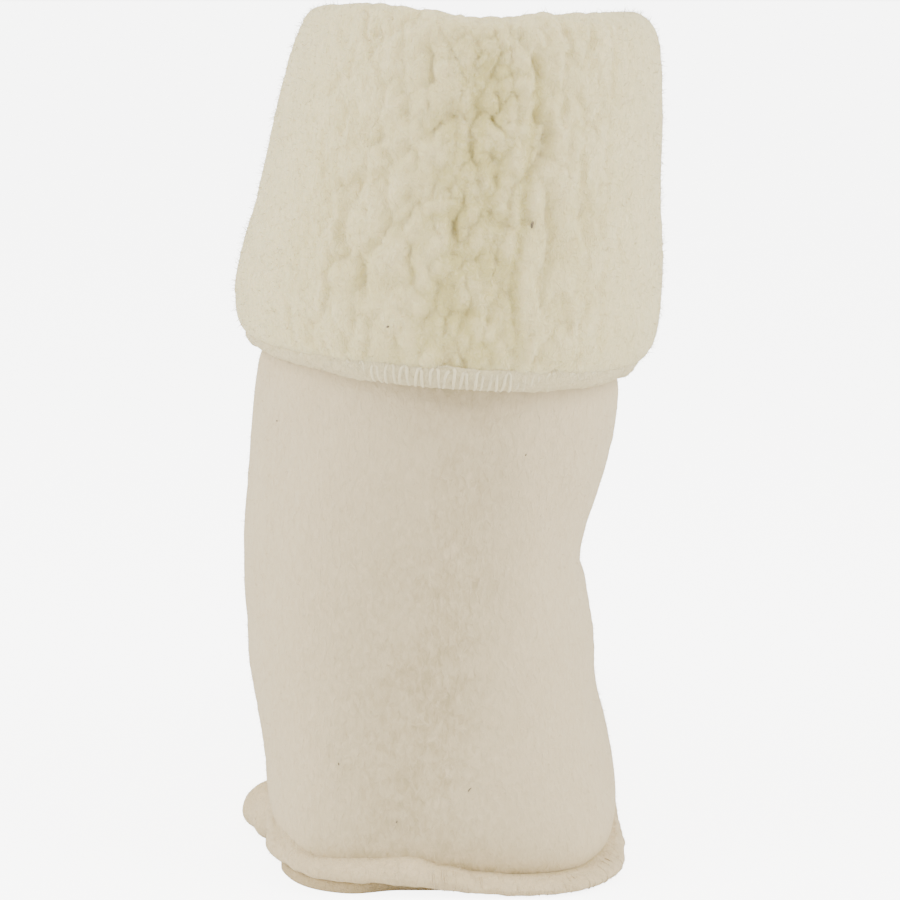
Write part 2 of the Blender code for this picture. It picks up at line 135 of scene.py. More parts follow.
def ringShares(count):  # from the middle of the front all the way round
    return 0.5 + np.arange(count + 1) / count


def backShare(share):  # the same, from -0.5 to 0.5 with 0 at the middle of the back
    return (share + 0.5) % 1.0 - 0.5


def flatNormals(ringAt, share):  # level unit normals of a ring
    step = 1e-3
    along = ringAt(share + step)[:, :2] - ringAt(share - step)[:, :2]
    return unit(np.stack([along[:, 1], -along[:, 0]], axis=1))


def outwardOf(rings):  # unit normals of a grid whose first and last columns are the same line
    around = np.gradient(rings, axis=1)
    around[:, 0] = rings[:, 1] - rings[:, -2]
    around[:, -1] = around[:, 0]
    return unit(np.cross(around, np.gradient(rings, axis=0)))


def awayFromMiddle(rings):  # unit directions out of a tube whose rows run round its section
    return unit(rings - rings[:-1].mean(axis=0))


def evenLevels(ringAt, top, count):  # row numbers whose rings are evenly far apart
    dense = np.linspace(0.0, top, int(top) * 4 + 1)
    rings = np.array([ringAt(level, ringShares(12)) for level in dense])
    return np.interp(np.linspace(0.0, wayDown(rings)[-1], count), wayDown(rings), dense)


def evenRings(ringAt, top, count, share):  # such rings, and their row numbers
    levels = evenLevels(ringAt, top, count)
    return np.array([ringAt(level, share) for level in levels]), levels


def wayDown(rings):  # mean distance along the cloth from its first ring
    step = np.linalg.norm(np.diff(rings, axis=0), axis=2).mean(axis=1)
    return np.concatenate([[0.0], np.cumsum(step)])


def groovePaths(lines, onCloth):  # each trough or ridge as its depth, half width, fade at the ends and path
    return [(*sizes, np.array([onCloth(*spot) for spot in line])) for *sizes, line in lines]


def grooveDepth(points, grooves):  # how far in the troughs push each point
    total = np.zeros(points.shape[:-1])
    for depth, half, fade, path in grooves:
        near = np.full(total.shape, 9.0)
        for start, end in zip(path[:-1], path[1:]):
            way = end - start
            share = np.clip(((points - start) @ way) / (way @ way), 0.0, 1.0)
            near = np.minimum(near, np.linalg.norm(points - start - share[..., None] * way, axis=-1))
        toEnd = np.minimum(*(np.linalg.norm(points - path[k], axis=-1) for k in (0, -1)))
        full = liner["grooveEnd"] + (1.0 - liner["grooveEnd"]) * smoothStep(0.0, fade, toEnd)
        total = total + depth * np.exp(-((near / half) ** 2)) * full
    return total


def overBand(pointAt, share, section, look, lift):  # paths of threads over a band, with their ends in it
    path = pointAt(share, section)
    middle = 0.5 * sum(pointAt(share, np.full(section.shape, at)) for at in look["core"])
    lift[:, [0, -1]] = look["ends"]
    return path + unit(path - middle) * lift[..., None]


# Meshes


def addObject(name, data):
    made = bpy.data.objects.new(name, data)
    bpy.context.scene.collection.objects.link(made)
    return made


def addPiece(name, mesh):
    mesh.shade_smooth()
    print(f"scene: {name}, {len(mesh.polygons)} faces")
    return addObject(name, mesh)


def meshOf(form, name):  # a bmesh as a new mesh
    mesh = bpy.data.meshes.new(name)
    form.to_mesh(mesh)
    form.free()
    return mesh


def closeMesh(mesh, near, capped=False):  # merges doubles, closes the ends and turns the faces outwards
    form = bmesh.new()
    form.from_mesh(mesh)
    bmesh.ops.remove_doubles(form, verts=form.verts[:], dist=near)
    if capped:
        bmesh.ops.edgeloop_fill(form, edges=[edge for edge in form.edges if edge.is_boundary])
    bmesh.ops.recalc_face_normals(form, faces=form.faces[:])
    form.to_mesh(mesh)
    form.free()


def finishedMesh(source, material):  # the mesh of an object that isn't kept, with its modifiers applied
    mesh = bpy.data.meshes.new_from_object(source.evaluated_get(bpy.context.evaluated_depsgraph_get()))
    bpy.data.objects.remove(source)
    mesh.materials.clear()
    mesh.materials.append(material)
    return mesh


def spotsOf(mesh):  # where a mesh's points are
    spots = np.empty(len(mesh.vertices) * 3, np.float32)
    mesh.vertices.foreach_get("co", spots)
    return spots.reshape(-1, 3)


def clothObject(name, rings, materials, paintedShade=None, kinds=None, capped=False):
    rows = rings.shape[0] - 1
    around = rings.shape[1] - 1
    form = bmesh.new()
    form.loops.layers.uv.new("cloth")
    bmesh.ops.create_grid(form, x_segments=around, y_segments=rows, size=0.5, calc_uvs=True)
    mesh = meshOf(form, name)
    flat = spotsOf(mesh)
    column = np.rint((flat[:, 0] + 0.5) * around).astype(int)
    row = np.rint((flat[:, 1] + 0.5) * rows).astype(int)
    mesh.vertices.foreach_set("co", (rings[row, column] - liner["middle"]).astype(np.float32).ravel())
    if paintedShade is not None:
        layer = mesh.attributes.new("paintedShade", "FLOAT", "POINT")
        layer.data.foreach_set("value", paintedShade[row, column].astype(np.float32))
    if kinds is not None:  # one material number for each row of faces
        corner = np.empty(len(mesh.loops), np.int32)
        mesh.loops.foreach_get("vertex_index", corner)
        faceRow = row[corner.reshape(-1, 4)].min(axis=1)
        mesh.polygons.foreach_set("material_index", kinds[faceRow].astype(np.int32))
    closeMesh(mesh, 1e-6, capped)
    for material in materials:
        mesh.materials.append(material)
    return addPiece(name, mesh)


def threadObject(name, paths, radius, material):  # many short threads as one mesh
    curve = bpy.data.curves.new(name, "CURVE")
    curve.dimensions = "3D"
    curve.bevel_depth = radius
    curve.bevel_resolution = 1
    curve.use_fill_caps = True
    for path in paths:
        spline = curve.splines.new("POLY")
        spline.points.add(len(path) - 1)
        spots = np.column_stack([path - liner["middle"], np.ones(len(path))])
        spline.points.foreach_set("co", spots.ravel())
    mesh = finishedMesh(addObject(name, curve), material)
    bpy.data.curves.remove(curve)
    closeMesh(mesh, 1e-7)
    return addPiece(name, mesh)


# Nodes


def setInputs(node, values):
    for name, value in values.items():
        node.inputs[name].default_value = value


def addNode(tree, kind, values=None, **settings):
    node = tree.nodes.new(kind)
    for name, value in settings.items():
        setattr(node, name, value)
    setInputs(node, values or {})
    return node


def join(tree, *links):  # each link as a node, its output, the next node and its input
    for start, output, end, place in links:
        tree.links.new(start.outputs[output], end.inputs[place])


strands = {
    "tip": 0.4,  # thickness at the tip, as a share of that at the root
    "out": 0.45,  # how far out the middle of a fibre stands, as a share of its length
    "sizes": (0.45, 1.25),  # least and most, as shares of the full size
    "seed": 5,
}


def napObject(name, carrier, onto, look, material):  # loose fibres that stand off one material of a cloth
    long = look["long"]
    form = bmesh.new()
    bmesh.ops.create_cone(form, cap_ends=True, segments=3, radius1=look["thick"],
                          radius2=look["thick"] * strands["tip"], depth=long)
    bmesh.ops.translate(form, verts=form.verts[:], vec=(0.0, 0.0, long * strands["out"]))
    upright = [edge for edge in form.edges if abs(edge.verts[0].co.z - edge.verts[1].co.z) > long / 2]
    bmesh.ops.subdivide_edges(form, edges=upright, cuts=1)
    for corner in form.verts:  # a fibre curls over
        corner.co.x += look["curl"] * (corner.co.z / long) ** 2 * long
    strand = bpy.data.objects.new(name + "Strand", meshOf(form, name + "Strand"))
    tree = bpy.data.node_groups.new(name + "Spread", "GeometryNodeTree")
    for way in ("INPUT", "OUTPUT"):
        tree.interface.new_socket(name="Geometry", in_out=way, socket_type="NodeSocketGeometry")
    given = addNode(tree, "NodeGroupInput")
    made = addNode(tree, "NodeGroupOutput")
    chosen = addNode(tree, "GeometryNodeMaterialSelection", {"Material": onto})
    roots = addNode(tree, "GeometryNodeDistributePointsOnFaces",
                    {"Density": look["density"], "Seed": look["seed"]})
    shape = addNode(tree, "GeometryNodeObjectInfo", {"Object": strand})
    most = (look["lean"], look["lean"], math.pi)
    tilt = addNode(tree, "FunctionNodeRandomValue", {0: [-turn for turn in most], 1: most},
                   data_type="FLOAT_VECTOR")
    turned = addNode(tree, "FunctionNodeRotateRotation", rotation_space="LOCAL")
    size = addNode(tree, "FunctionNodeRandomValue",
                   {2: strands["sizes"][0], 3: strands["sizes"][1], "Seed": strands["seed"]})
    placed = addNode(tree, "GeometryNodeInstanceOnPoints")
    joined = addNode(tree, "GeometryNodeRealizeInstances")
    join(tree, (given, 0, roots, "Mesh"), (chosen, 0, roots, "Selection"),
         (roots, "Points", placed, "Points"), (shape, "Geometry", placed, "Instance"),
         (roots, "Rotation", turned, 0), (tilt, 0, turned, 1), (turned, 0, placed, "Rotation"),
         (size, 1, placed, "Scale"), (placed, 0, joined, 0), (joined, 0, made, 0))
    holder = addObject(name + "Holder", carrier.data)
    holder.modifiers.new("spread", "NODES").node_group = tree
    mesh = finishedMesh(holder, material)
    mesh.name = name
    bpy.data.objects.remove(strand)
    spots = spotsOf(mesh)
    spots[:, 2] = np.maximum(spots[:, 2], look["thick"])  # fibres under the sole's edge lie flat
    mesh.vertices.foreach_set("co", spots.ravel())
    return addPiece(name, mesh)


# Wool finishes


def woolGrainGroup():  # fine fibres as a height and a tone, from object coordinates in metres
    group = bpy.data.node_groups.new("woolGrain", "ShaderNodeTree")
    for way, names in (("INPUT", ("Scale", "Upright", "Curl", "Clouds")), ("OUTPUT", ("Height", "Tone"))):
        for name in names:
            group.interface.new_socket(name=name, in_out=way, socket_type="NodeSocketFloat")
    given = addNode(group, "NodeGroupInput")
    made = addNode(group, "NodeGroupOutput")
    place = addNode(group, "ShaderNodeTexCoord")
    squeeze = addNode(group, "ShaderNodeCombineXYZ", {0: 1.0, 1: 1.0})
    scaled = addNode(group, "ShaderNodeVectorMath", operation="MULTIPLY")
    fine = addNode(group, "ShaderNodeTexNoise", {"Detail": 3.0, "Roughness": 0.6})
    clouds = addNode(group, "ShaderNodeTexNoise", {"Scale": 70.0, "Detail": 3.0})
    tone = addNode(group, "ShaderNodeMix", data_type="FLOAT")
    join(group, (given, "Upright", squeeze, 2), (place, "Object", scaled, 0), (squeeze, 0, scaled, 1),
         (scaled, 0, fine, "Vector"), (given, "Scale", fine, "Scale"), (given, "Curl", fine, "Distortion"),
         (place, "Object", clouds, "Vector"), (given, "Clouds", tone, 0), (fine, 0, tone, 2),
         (clouds, 0, tone, 3), (fine, 0, made, "Height"), (tone, 0, made, "Tone"))
    return group


woolGrain = woolGrainGroup()


def woolMaterial(name, look):
    material = bpy.data.materials.new(name)
    material.use_nodes = True
    tree = material.node_tree
    shader = tree.nodes["Principled BSDF"]
    setInputs(shader, {"Roughness": look["roughness"], "Specular IOR Level": 0.15,
                       "Sheen Weight": look["sheen"], "Sheen Roughness": 0.6,
                       "Sheen Tint": (1.0, 0.93, 0.74, 1.0), "Subsurface Weight": look["glow"],
                       "Subsurface Radius": (1.0, 0.8, 0.5), "Subsurface Scale": 0.0035})
    grain = addNode(tree, "ShaderNodeGroup", node_tree=woolGrain)
    setInputs(grain, {key.capitalize(): look[key] for key in ("scale", "upright", "curl", "clouds")})
    tone = addNode(tree, "ShaderNodeMapRange", {"From Min": 0.32, "From Max": 0.68})
    colour = addNode(tree, "ShaderNodeMix", {"A": (*look["dark"], 1.0), "B": (*look["light"], 1.0)},
                     data_type="RGBA")
    join(tree, (grain, "Tone", tone, "Value"), (tone, 0, colour, 0))
    # painted shade: the mesh's shade attribute mixes the deep colour into crevices and creases
    if look["deep"]:
        depth = addNode(tree, "ShaderNodeAttribute", attribute_name="paintedShade")
        share = addNode(tree, "ShaderNodeMapRange", {"To Min": 1.7, "To Max": 0.2})  # least on light fibres
        shadeStrength = addNode(tree, "ShaderNodeMath", operation="MULTIPLY", use_clamp=True)
        shadedColour = addNode(tree, "ShaderNodeMix", {"B": (*look["deep"], 1.0)}, data_type="RGBA")
        join(tree, (colour, "Result", shadedColour, "A"), (tone, 0, share, "Value"), (depth, "Fac", shadeStrength, 0),
             (share, 0, shadeStrength, 1), (shadeStrength, 0, shadedColour, 0))
        colour = shadedColour
    bump = addNode(tree, "ShaderNodeBump", {"Distance": look["relief"]})
    join(tree, (colour, "Result", shader, "Base Color"), (grain, "Height", bump, "Height"),
         (bump, 0, shader, "Normal"))
    return material


# The wool's light and dark tones and its painted shade colour for crevices and creases, then roughness,
# sheen
# and glow, and the grain: its scale in cells a metre, how upright and how curled its fibres are, its clouds,
# and its relief in metres
lookNames = "light dark deep roughness sheen glow scale upright curl clouds relief".split()
looks = {
    "napped felt": ((0.720, 0.600, 0.382), (0.655, 0.538, 0.330), (0.492, 0.402, 0.228),
                    0.95, 0.2, 0.10, 540.0, 0.55, 0.7, 0.25, 0.0007),
    "curly pile": ((0.880, 0.770, 0.430), (0.800, 0.690, 0.360), (0.675, 0.580, 0.240),
                   1.0, 0.25, 0.35, 520.0, 0.8, 1.6, 0.5, 0.0009),
    "rolled seam wool": ((0.745, 0.605, 0.375), (0.625, 0.498, 0.288), (0.50, 0.39, 0.19),
                         0.95, 0.2, 0.15, 560.0, 0.6, 1.0, 0.5, 0.0010),
    "hem wool": ((0.800, 0.690, 0.415), (0.700, 0.590, 0.330), None,
                 0.95, 0.25, 0.20, 700.0, 0.8, 1.2, 0.35, 0.0010),
    "overlock thread": ((0.890, 0.790, 0.510), (0.810, 0.705, 0.430), None,
                        0.85, 0.3, 0.15, 1500.0, 0.5, 0.5, 0.3, 0.0003),
    # darker than the other felt: painted shade, for the sole lying in shadow under the roll
    "sole felt": ((0.600, 0.470, 0.270), (0.500, 0.380, 0.200), None,
                  0.95, 0.15, 0.05, 560.0, 1.0, 0.6, 0.5, 0.0009),
    "plant specks": ((0.26, 0.22, 0.14), (0.12, 0.10, 0.07), None,
                     0.8, 0.0, 0.0, 2000.0, 1.0, 0.0, 0.2, 0.0001),
}
felt, pile, flangeWool, hemWool, thread, shadedSoleFelt, speckStuff = (
    woolMaterial(name, dict(zip(lookNames, look))) for name, look in looks.items())
print("scene: finishes made")

# Curls of the pile

curls = {
    "pitch": 0.0078,  # from one curl to the next round the cloth
    "rowPitch": 0.0084,  # and down the cloth
    "longer": 0.26,  # over this way down, rows grow to e times their height
    "rise": 0.0017,  # from a crevice to a curl's top
    "sway": 0.32,  # how far rows of curls wander, in cells
    "bends": 1.7,  # and how often in a cell
    "stray": 0.85,  # how far a curl's middle strays, as a share of its cell
    "lean": 1.2,  # radians between the curls that lean most
    "form": (0.80, 0.36),  # under 1 a curl is longer than wide: the least, and how much more it may be
    "tall": (0.72, 0.42),  # least height of a curl in its cell, and how much more it may be
    "tilt": 0.4,  # how much its top slopes
    "fall": 2.4,  # how fast a curl falls off from its middle
    "merge": 4.8,  # higher leaves a sharper line between curls
    "gapWidth": 0.45,
    "lobes": 2,  # small curls on each large one
}


def curlField(share, level, wrap, turn):  # height from 0 to about 1, and how deep a place lies in a crevice
    bends = round(wrap * curls["bends"])
    sway, dip = (softNoise(share * bends, level * curls["bends"], bends, turn + k) for k in (9, 10))
    x = share * wrap + curls["sway"] * sway
    y = level + curls["sway"] * dip
    best = np.full(x.shape, -9.0)
    second = np.full(x.shape, -9.0)
    total = np.zeros(x.shape)
    for stepDown in range(-2, 3):
        for stepRound in range(-2, 3):
            i = np.floor(x) + stepRound
            j = np.floor(y) + stepDown
            draw = [scatter(i % wrap, j, turn + k) for k in range(7)]
            dx = x - i - 0.5 - curls["stray"] * (draw[0] - 0.5)
            dy = y - j - 0.5 - curls["stray"] * (draw[1] - 0.5)
            lean = curls["lean"] * (draw[2] - 0.5)
            stretch = curls["form"][0] + curls["form"][1] * draw[3]
            along = (dx * np.sin(lean) + dy * np.cos(lean)) * stretch
            across = (dx * np.cos(lean) - dy * np.sin(lean)) / stretch
            tall = curls["tall"][0] + curls["tall"][1] * draw[4]
            tilt = curls["tilt"] * (draw[5] - 0.5) * dx + curls["tilt"] * (draw[6] - 0.2) * dy
            height = tall - curls["fall"] * (along**2 + across**2) + tilt
            total = total + np.exp(curls["merge"] * height)
            second = np.maximum(second, np.minimum(best, height))
            best = np.maximum(best, height)
    gap = 1.0 - smoothStep(0.0, curls["gapWidth"], best - second)
    return np.log(total) / curls["merge"], gap


# The cuff: the cloth's top stretch turned down, pile out

cuff = {
    "around": 520,
    "pileRows": 181,
    "feltRows": 8,
    "lessShadeTop": 0.55,  # how much less painted shade the pile's crevices get on the top fold
    "lessShadeFrom": (0.284, 0.301),  # heights where that starts and is full
    "sideCalm": 0.84,  # how much lower the curls are at the sides, and how much less painted shade they get there
    "calmFrom": (0.075, 0.155),  # shares from the middle of back or front where that starts and is full
    "bandCentre": 0.010,  # share of the way round where the cuff sinks in and its curls part most
    "bandHalf": 0.036,
    "bandDepth": 0.0020,
    "bandRows": (4.0, 7.0, 21.0, 24.0),  # rows of the table where it starts, is full, starts to end and ends
    "wave": (0.0005, 20, 0.024, 5),  # broad unevenness: height, cells round, pitch down and turn
    "patches": (1.0, 34, 0.014, 41),  # places where curls lie closed or open, in the same way
    "kink": 0.00016,  # the pile's finest locks
    "kinkPitch": 0.0019,
    "proud": 0.0005,  # how far the pile stands over the cloth's tables
    "countRing": 60,  # the ring that the curls are counted on
    "small": (0.18, 0.42),  # how high small curls stand, and how much higher in the band
    "gapSunk": 0.20,
    "gapShade": 0.30,  # painted shade on the pile: in gaps, low places, the band, low small curls and partings
    "lowShade": 1.5,
    "bandShade": 0.20,
    "smallShade": 0.6,
    "lineShade": 0.45,
    "fullLine": 0.0014,  # a parting of this depth gets the full painted shade
    "shadeStrength": (0.30, 0.56),  # how strong the painted shade is, and how much stronger in the band
}
cuffColumns = "z yBack yFront xLeft xRight top tilt curl"
cuffPile = columns(cuffColumns, (
    (0.2890, -0.0660, 0.0641, -0.0438, 0.0612, 0, 0, 0),
    (0.2980, -0.0641, 0.0623, -0.0411, 0.0591, 0.6, 0, 0.3),
    (0.3026, -0.0660, 0.0640, -0.0427, 0.0605, 1, 0, 0.4),
    (0.3048, -0.0702, 0.0680, -0.0462, 0.0642, 1, 0, 0.4),
    (0.3034, -0.0746, 0.0722, -0.0494, 0.0682, 1, 0, 0.6),
    (0.2999, -0.0773, 0.0750, -0.0517, 0.0714, 0.9, 0, 0.9),
    (0.2952, -0.0784, 0.0761, -0.0538, 0.0732, 0.8, 0, 1),
    (0.2892, -0.0786, 0.0764, -0.0560, 0.0742, 0.7, 0, 1),
    (0.2830, -0.0786, 0.0765, -0.0577, 0.0746, 0.5, 0, 1),
    (0.2768, -0.0785, 0.0764, -0.0594, 0.0748, 0.4, 0, 1),
    (0.2706, -0.0783, 0.0763, -0.0610, 0.0750, 0.3, 0, 1),
    (0.2643, -0.0781, 0.0762, -0.0625, 0.0751, 0.2, 0, 1),
    (0.2580, -0.0779, 0.0760, -0.0639, 0.0750, 0.1, 0, 1),
    (0.2517, -0.0777, 0.0758, -0.0654, 0.0749, 0, 0, 1),
    (0.2454, -0.0775, 0.0756, -0.0669, 0.0749, 0, 0, 1),
    (0.2391, -0.0773, 0.0754, -0.0683, 0.0750, 0, 0.1, 1),
    (0.2328, -0.0771, 0.0752, -0.0699, 0.0753, 0, 0.2, 1),
    (0.2265, -0.0770, 0.0751, -0.0718, 0.0757, 0, 0.3, 1),
    (0.2202, -0.0769, 0.0750, -0.0736, 0.0760, 0, 0.4, 1),
    (0.2139, -0.0768, 0.0749, -0.0751, 0.0760, 0, 0.6, 1),
    (0.2078, -0.0767, 0.0748, -0.0762, 0.0757, 0, 0.8, 1),
    (0.2018, -0.0765, 0.0746, -0.0768, 0.0752, 0, 1, 1),
    (0.1962, -0.0761, 0.0742, -0.0768, 0.0743, 0, 1, 0.9),
    (0.1912, -0.0752, 0.0733, -0.0762, 0.0727, 0, 1, 0.9),
    (0.1872, -0.0738, 0.0719, -0.0746, 0.0700, 0, 1, 0.6),
    (0.1846, -0.0720, 0.0702, -0.0722, 0.0664, 0, 1, 0),
))
cuffFelt = columns(cuffColumns, (
    (0.1842, -0.0678, 0.0661, -0.0680, 0.0624, 0, 1, 0),
    (0.1960, -0.0682, 0.0665, -0.0690, 0.0645, 0, 1, 0),
    (0.2140, -0.0686, 0.0670, -0.0676, 0.0662, 0, 0.6, 0),
    (0.2360, -0.0693, 0.0677, -0.0614, 0.0674, 0, 0.1, 0),
    (0.2580, -0.0700, 0.0684, -0.0562, 0.0676, 0.1, 0, 0),
    (0.2790, -0.0706, 0.0689, -0.0515, 0.0673, 0.3, 0, 0),
    (0.2915, -0.0708, 0.0690, -0.0484, 0.0659, 0.5, 0, 0),
    (0.2966, -0.0701, 0.0683, -0.0472, 0.0650, 0.5, 0, 0),
    (0.2972, -0.0690, 0.0672, -0.0459, 0.0640, 0.5, 0, 0),
    (0.2933, -0.0684, 0.0666, -0.0452, 0.0634, 0, 0, 0),
))
topWave = columns("share rise", (  # height of the top fold over its mean
    (0.000, -0.0026), (0.020, -0.0012), (0.045, 0.0003), (0.080, -0.0002), (0.150, -0.0006),
    (0.250, -0.0016), (0.400, -0.0042), (0.500, -0.0048), (0.600, -0.0042), (0.750, 0.0000),
    (0.840, 0.0018), (0.905, 0.0030), (0.960, 0.0018), (0.982, -0.0004), (1.000, -0.0026),
))
cuffEnd = len(cuffPile["z"]) - 1.0
cuffOutside = 6  # from this row on the table is the cuff's outside

# Lines where the pile parts, mostly down the back: depth, half width, fade, and a line of (share, height)
partings = (
    (0.0015, 0.0019, 0.012,
     ((0.046, 0.292), (0.048, 0.277), (0.0485, 0.260), (0.046, 0.243), (0.0475, 0.234), (0.044, 0.223),
      (0.046, 0.210), (0.050, 0.192))),
    (0.0010, 0.0022, 0.008,
     ((0.004, 0.294), (0.009, 0.286), (0.003, 0.276), (0.008, 0.266), (0.000, 0.256))),
    (0.0010, 0.0022, 0.008, ((-0.015, 0.273), (-0.010, 0.266), (-0.001, 0.260))),
    (0.0011, 0.0021, 0.010,
     ((-0.003, 0.244), (-0.004, 0.233), (0.004, 0.222), (-0.001, 0.203), (-0.010, 0.195))),
    (0.0010, 0.0020, 0.007, ((0.0215, 0.262), (0.025, 0.248), (0.018, 0.238))),
    (0.0004, 0.0022, 0.008, ((-0.106, 0.254), (-0.110, 0.240), (-0.104, 0.230))),
    (0.0006, 0.0022, 0.008, ((-0.060, 0.232), (-0.066, 0.220), (-0.062, 0.208))),
    (0.0005, 0.0020, 0.010, ((0.092, 0.262), (0.089, 0.243), (0.094, 0.224))),
    (0.0010, 0.0020, 0.012,
     ((0.520, 0.286), (0.512, 0.262), (0.518, 0.240), (0.510, 0.216), (0.514, 0.196))),
    (0.0009, 0.0020, 0.012, ((0.470, 0.276), (0.476, 0.250), (0.468, 0.226))),
)


def cuffRing(table, level, share):
    r = {name: between(table, name, np.array(level)) for name in table}
    r["xFront"] = (r["xLeft"] + r["xRight"]) / 2
    flat = outline({**r, "yWide": 0.0, "nBack": liner["tubeSquare"], "nFront": liner["tubeSquare"]}, share)
    top = r["top"] * eased(topWave["share"], topWave["rise"], share % 1.0)
    return np.column_stack([flat, r["z"] + top + r["tilt"] * hemSlope(share)])


def onCuff(share, z):  # the point of the cuff's outside at a share of the way round and a height
    heights = (cuffPile["z"] + cuffPile["tilt"] * hemSlope(share))[cuffOutside:]
    level = cuffOutside + np.interp(-z, -heights, np.arange(len(heights)))
    return cuffRing(cuffPile, level, np.array([share]))[0]


def buildCuff():
    share = ringShares(cuff["around"])
    rings, levels = evenRings(lambda at, s: cuffRing(cuffPile, at, s), cuffEnd, cuff["pileRows"], share)
    normal = -outwardOf(rings)
    round2, down2 = np.meshgrid(share, wayDown(rings))
    girth = np.linalg.norm(np.diff(rings[cuff["countRing"]], axis=0), axis=1).sum()
    wrap = int(round(girth / curls["pitch"]))
    level2 = curls["longer"] * (1.0 - np.exp(-down2 / curls["longer"])) / curls["rowPitch"]
    height, gap = curlField(round2, level2, wrap, 3)
    lobes, lobeGap = curlField(round2, level2 * curls["lobes"], wrap * curls["lobes"], 20)
    band = np.exp(-((backShare(round2) - cuff["bandCentre"]) / cuff["bandHalf"]) ** 2)
    patch = unevenness([cuff["patches"]], round2, down2)
    parted = 0.1 + 0.9 * smoothStep(-0.3, 1.0, patch + 0.6 * band)
    kinks = round(wrap * curls["pitch"] / cuff["kinkPitch"])
    kink = softNoise(round2 * kinks, down2 / cuff["kinkPitch"], kinks, 61)
    fromMiddle = np.abs((2.0 * round2 + 0.5) % 1.0 - 0.5) / 2.0
    calm = 1.0 - cuff["sideCalm"] * smoothStep(*cuff["calmFrom"], fromMiddle)
    curl = between(cuffPile, "curl", levels)[:, None]
    outside = (levels > cuffOutside)[:, None]
    lines = np.where(outside, grooveDepth(rings, groovePaths(partings, onCuff)), 0.0)
    wave = unevenness([cuff["wave"]], round2, down2)
    small = (cuff["small"][0] + cuff["small"][1] * band) * (lobes - 0.9)
    lift = curls["rise"] * (height - 0.95 - cuff["gapSunk"] * gap * parted + small - 0.04 * lobeGap)
    lift = ((lift + wave) * calm + cuff["kink"] * kink + cuff["proud"]) * curl - lines
    rows = cuff["bandRows"]
    sunk = band * smoothStep(*rows[:2], levels)[:, None] * (1.0 - smoothStep(*rows[2:], levels)[:, None])
    pileRings = rings + normal * (lift - cuff["bandDepth"] * sunk)[:, :, None]
    last = len(cuffFelt["z"]) - 1.0
    feltRings = evenRings(lambda at, s: cuffRing(cuffFelt, at, s), last, cuff["feltRows"], share)[0]
    whole = np.concatenate([pileRings, feltRings, pileRings[:1]])
    # painted shade: the curls' gaps, low places and partings get a darker colour, more in the band down the
    # back, less at the sides and on the top fold
    depth = cuff["gapShade"] * gap * parted + cuff["lowShade"] * np.clip(1.0 - height, 0.0, 1.0)
    depth = depth + lines / cuff["fullLine"] + cuff["bandShade"] * band
    depth = depth + cuff["smallShade"] * band * np.clip(0.92 - lobes, 0.0, 1.0)
    strength = cuff["shadeStrength"][0] + cuff["shadeStrength"][1] * band
    depth = np.clip(depth, 0.0, 1.0) * np.clip(curl, 0.0, 1.0) * calm * strength
    depth = np.clip(depth + cuff["lineShade"] * lines / cuff["fullLine"], 0.0, 1.0)
    depth = depth * (1.0 - cuff["lessShadeTop"] * smoothStep(*cuff["lessShadeFrom"], rings[:, :, 2]))
    paintedShade = np.concatenate([depth, np.zeros(feltRings.shape[:2]), depth[:1]])
    kinds = np.zeros(len(whole), int)
    kinds[cuff["pileRows"]:-2] = 1
    return clothObject("cuffPile", whole, [pile, felt], paintedShade, kinds)


cuffPiece = buildCuff()

# The upper: leg and foot, felt out and pile in

